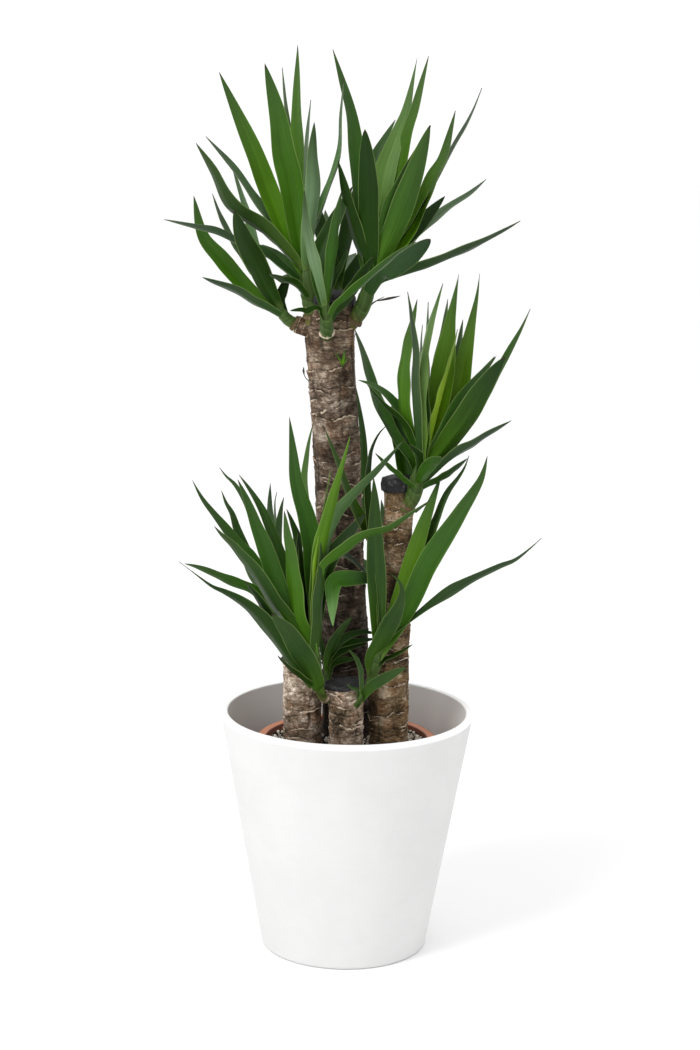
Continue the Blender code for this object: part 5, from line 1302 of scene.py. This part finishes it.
def turned(name, profile):
    """A round piece: one point is drawn out along a profile of (radius, height), spun round and closed."""
    bpy.ops.object.select_all(action="DESELECT")
    bpy.ops.mesh.primitive_plane_add(size=CM)
    piece = bpy.context.object
    bpy.ops.object.mode_set(mode="EDIT")
    bpy.ops.mesh.merge(type="CENTER")
    bpy.ops.transform.translate(value=(profile[0][0], 0, profile[0][1]))
    for (r, z), (next_r, next_z) in zip(profile, profile[1:]):
        step = {"value": (next_r - r, 0, next_z - z)}
        bpy.ops.mesh.extrude_region_move(TRANSFORM_OT_translate=step)
    bpy.ops.mesh.select_all(action="SELECT")
    bpy.ops.mesh.spin(steps=ROUND_STEPS, angle=tau, axis=(0, 0, 1), center=(0, 0, 0))
    bpy.ops.mesh.select_all(action="SELECT")
    bpy.ops.mesh.remove_doubles(threshold=1e-6)
    bpy.ops.mesh.fill_holes(sides=0)
    bpy.ops.mesh.select_all(action="SELECT")
    bpy.ops.mesh.normals_make_consistent(inside=False)
    bpy.ops.object.mode_set(mode="OBJECT")
    smooth(35)
    piece.name = name
    return piece


def straight(start, end, steps):
    """Points (r, z) on a line, without its two ends."""
    shares = np.linspace(0, 1, steps + 1)[1:-1]
    return [(start[0] + (end[0] - start[0]) * f, start[1] + (end[1] - start[1]) * f) for f in shares]


def make_planter():
    """The round planter: a rounded foot and lip, and a plain wall."""
    inner_floor = (PLANTER_BASE_RADIUS + PLANTER_SLOPE * PLANTER_FLOOR - PLANTER_WALL, PLANTER_FLOOR)
    foot = arc((PLANTER_BASE_RADIUS - PLANTER_FOOT, PLANTER_FOOT), PLANTER_FOOT, -pi / 2, 0, EDGE_STEPS)
    edge = PLANTER_HEIGHT - LIP_ROUND
    inner_rim = PLANTER_RIM_RADIUS - PLANTER_WALL
    rim = arc((PLANTER_RIM_RADIUS - LIP_ROUND, edge), LIP_ROUND, 0, pi / 2, EDGE_STEPS)
    rim += arc((inner_rim + LIP_ROUND, edge), LIP_ROUND, pi / 2, pi, EDGE_STEPS)
    profile = foot + straight(foot[-1], rim[0], WALL_STEPS) + rim
    profile += straight(rim[-1], inner_floor, WALL_STEPS)
    stand_for(turned("cover_pot", profile + [inner_floor]), "planter", planter_look())


def make_nursery_pot():
    """The thin pot inside the planter, with a rim that is turned down."""
    foot, rim = POT_LOW[2], POT_HIGH[2]
    edge, skirt = POT_ROUND, POT_RIM_RADIUS - POT_WALL
    mouth = POT_MOUTH_RADIUS + POT_WALL
    profile = [(POT_BASE_RADIUS, foot), (mouth, rim - POT_WALL), (skirt, rim - POT_WALL),
               (skirt, rim - POT_RIM_DROP), (POT_RIM_RADIUS, rim - POT_RIM_DROP)]
    profile += arc((POT_RIM_RADIUS - edge, rim - edge), edge, 0, pi / 2, POT_EDGE_STEPS)
    profile += arc((POT_MOUTH_RADIUS + edge, rim - edge), edge, pi / 2, pi, POT_EDGE_STEPS)
    floor = (POT_BASE_RADIUS - POT_WALL, foot + POT_WALL)
    profile += straight(profile[-1], floor, POT_WALL_STEPS) + [floor]
    stand_for(turned("grower_pot", profile), "nursery_pot", pot_look())


def soil_height(x, y):
    """The height of the lumpy soil, with a bank at the right."""
    broad = noise.noise((x * 38, y * 38, 2.0))
    lump = noise.noise((x * 130, y * 130, 5.0))
    grit = noise.noise((x * 420, y * 420, 9.0))
    off = (x - SOIL_BANK[0]) ** 2 + (y - SOIL_BANK[1]) ** 2
    bank = SOIL_BANK_HEIGHT * exp(-off / SOIL_BANK_SPREAD**2)
    return SOIL_LEVEL + bank + SOIL_LUMP * (0.45 * broad + 0.40 * lump + 0.22 * grit)


def make_soil():
    """The soil: a turned plug whose top is lumpy."""
    low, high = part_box("soil")
    edge, floor = high[0], low[2] + 0.001
    foot = edge * SOIL_FOOT
    top = [(edge * f, SOIL_LEVEL) for f in np.linspace(1, 0.01, SOIL_RINGS)]
    soil = turned("soil_surface", [(foot, floor), (foot + 0.002, floor)] + top)
    points = coordinates(soil.data)
    for point in points:
        if point[2] > SOIL_LEVEL - 0.001:
            point[2] = soil_height(point[0], point[1])
    set_coordinates(soil.data, points)
    stand_for(soil, "soil", soil_look())


def model_grain(roughness, seed):
    """A lumpy grain of unit radius."""
    bpy.ops.mesh.primitive_ico_sphere_add(subdivisions=1, radius=1)
    grain = bpy.context.object
    points = [Vector(p) * (1 + roughness * noise.noise(Vector(p) * 1.3 + Vector((seed, 0, 0))))
              for p in coordinates(grain.data)]
    set_coordinates(grain.data, points)
    bpy.ops.object.shade_smooth()
    return grain


def scatter(name, count, sizes, roughness, look, seed):
    """Grains strewn over the soil, clear of the canes."""
    dice = np.random.default_rng(seed)
    patterns = [model_grain(roughness, 7.0 * k + seed) for k in range(GRAIN_KINDS)]
    feet = [(cane_frames(cane, 12)[1][0], cane.rings[0][2] * CM) for cane in CANES]
    parts = []
    while len(parts) < count:
        r, a = SOIL_STREWN * sqrt(dice.uniform(0, 1)), dice.uniform(0, tau)
        x, y = r * cos(a), r * sin(a)
        size = sizes[0] + (sizes[1] - sizes[0]) * dice.uniform(0, 1) ** 2.2
        if any((foot.x - x) ** 2 + (foot.y - y) ** 2 < radius**2 for foot, radius in feet):
            continue
        turn = Euler(dice.uniform(0, tau, 3)).to_matrix()
        shape = Vector(dice.uniform(0.65, 1.15, 3)) * size
        spot = Vector((x, y, soil_height(x, y) + size * dice.uniform(-0.1, 0.7)))
        parts.append(copied(patterns[len(parts) % GRAIN_KINDS], spot, turn[0], turn[1], shape))
    for pattern in patterns:
        bpy.data.objects.remove(pattern)
    dress(join(parts, name), look)


# ---- small things


def make_twig(name, points, radii, look):
    """A thin stalk through points (x, y, z), as seen, each with its radius; in cm."""
    rows = 4 * len(points)
    twig = plain_tube(TWIG_AROUND, rows)
    path = smooth_path(seen_all(points), rows + 1)
    moved = []
    for c, s, share in coordinates(twig.data):
        i = round(share * rows)
        along = direction(path, i)
        side = along.cross(Vector((0.3, 1, 0.2))).normalized()
        r = float(np.interp(share, np.linspace(0, 1, len(radii)), radii)) * CM
        moved.append(path[i] + (side * c + along.cross(side) * s) * r)
    set_coordinates(twig.data, moved)
    smooth(60)
    twig.name = name
    dress(twig, look)


def make_twigs():
    """The dead twigs on the canes."""
    look = twig_look()
    for name, points, radii in TWIGS:
        make_twig(name, points, radii, look)


# ---- floor, lights and camera


def make_floor():
    """A plain pale floor, so wide that it fills the picture."""
    bpy.ops.mesh.primitive_plane_add(size=FLOOR_SIZE)
    floor = bpy.context.object
    floor.name = "floor"
    look = Look("pale_floor", 0.3)
    cloud = look.noise(look.place(), 0.8)
    colour = look.mix(cloud, (0.955, 0.955, 0.955), (0.97, 0.97, 0.97))
    floor.data.materials.append(look.finish(colour, 0.8))


def make_light(name, spot, target, size, power):
    """A square soft box that faces its target."""
    light = bpy.data.lights.new(name, "AREA")
    light.shape = "SQUARE"
    light.size = size
    light.energy = power
    lamp = placed(name, light)
    lamp.location = spot
    lamp.rotation_euler = (Vector(target) - Vector(spot)).to_track_quat("-Z", "Y").to_euler()


def make_lights():
    """Even white light from all round, and a soft key light from the upper left."""
    world = bpy.data.worlds.new("studio")
    bpy.context.scene.world = world
    world.use_nodes = True
    sky = world.node_tree.nodes["Background"]
    sky.inputs["Color"].default_value = (1.0, 1.0, 1.0, 1)
    sky.inputs["Strength"].default_value = WORLD_LIGHT
    for light in LIGHTS:
        make_light(*light)


def make_camera():
    """The camera that was fitted to the photo."""
    camera = bpy.data.cameras.new("camera")
    camera.sensor_width = SENSOR
    camera.lens = CAMERA_LENS
    camera.clip_start = 0.1
    camera.clip_end = 50
    holder = placed("camera", camera)
    holder.location = EYE
    level = Euler((pi / 2 - CAMERA_PITCH, 0, 0)).to_matrix()
    roll = Matrix.Rotation(CAMERA_ROLL, 3, "Z")
    holder.rotation_euler = (level @ roll).to_euler()
    bpy.context.scene.camera = holder
    bpy.context.scene.view_settings.view_transform = "Standard"


def main():
    make_camera()
    make_lights()
    make_floor()
    make_planter()
    make_nursery_pot()
    make_soil()
    scatter("soil_crumbs", CRUMBS, CRUMB_SIZES, 0.5, soil_look(), seed=3)
    scatter("perlite", PERLITE, PERLITE_SIZES, 0.45, perlite_look(), seed=4)
    make_canes()
    make_shoots()
    make_twigs()


main()
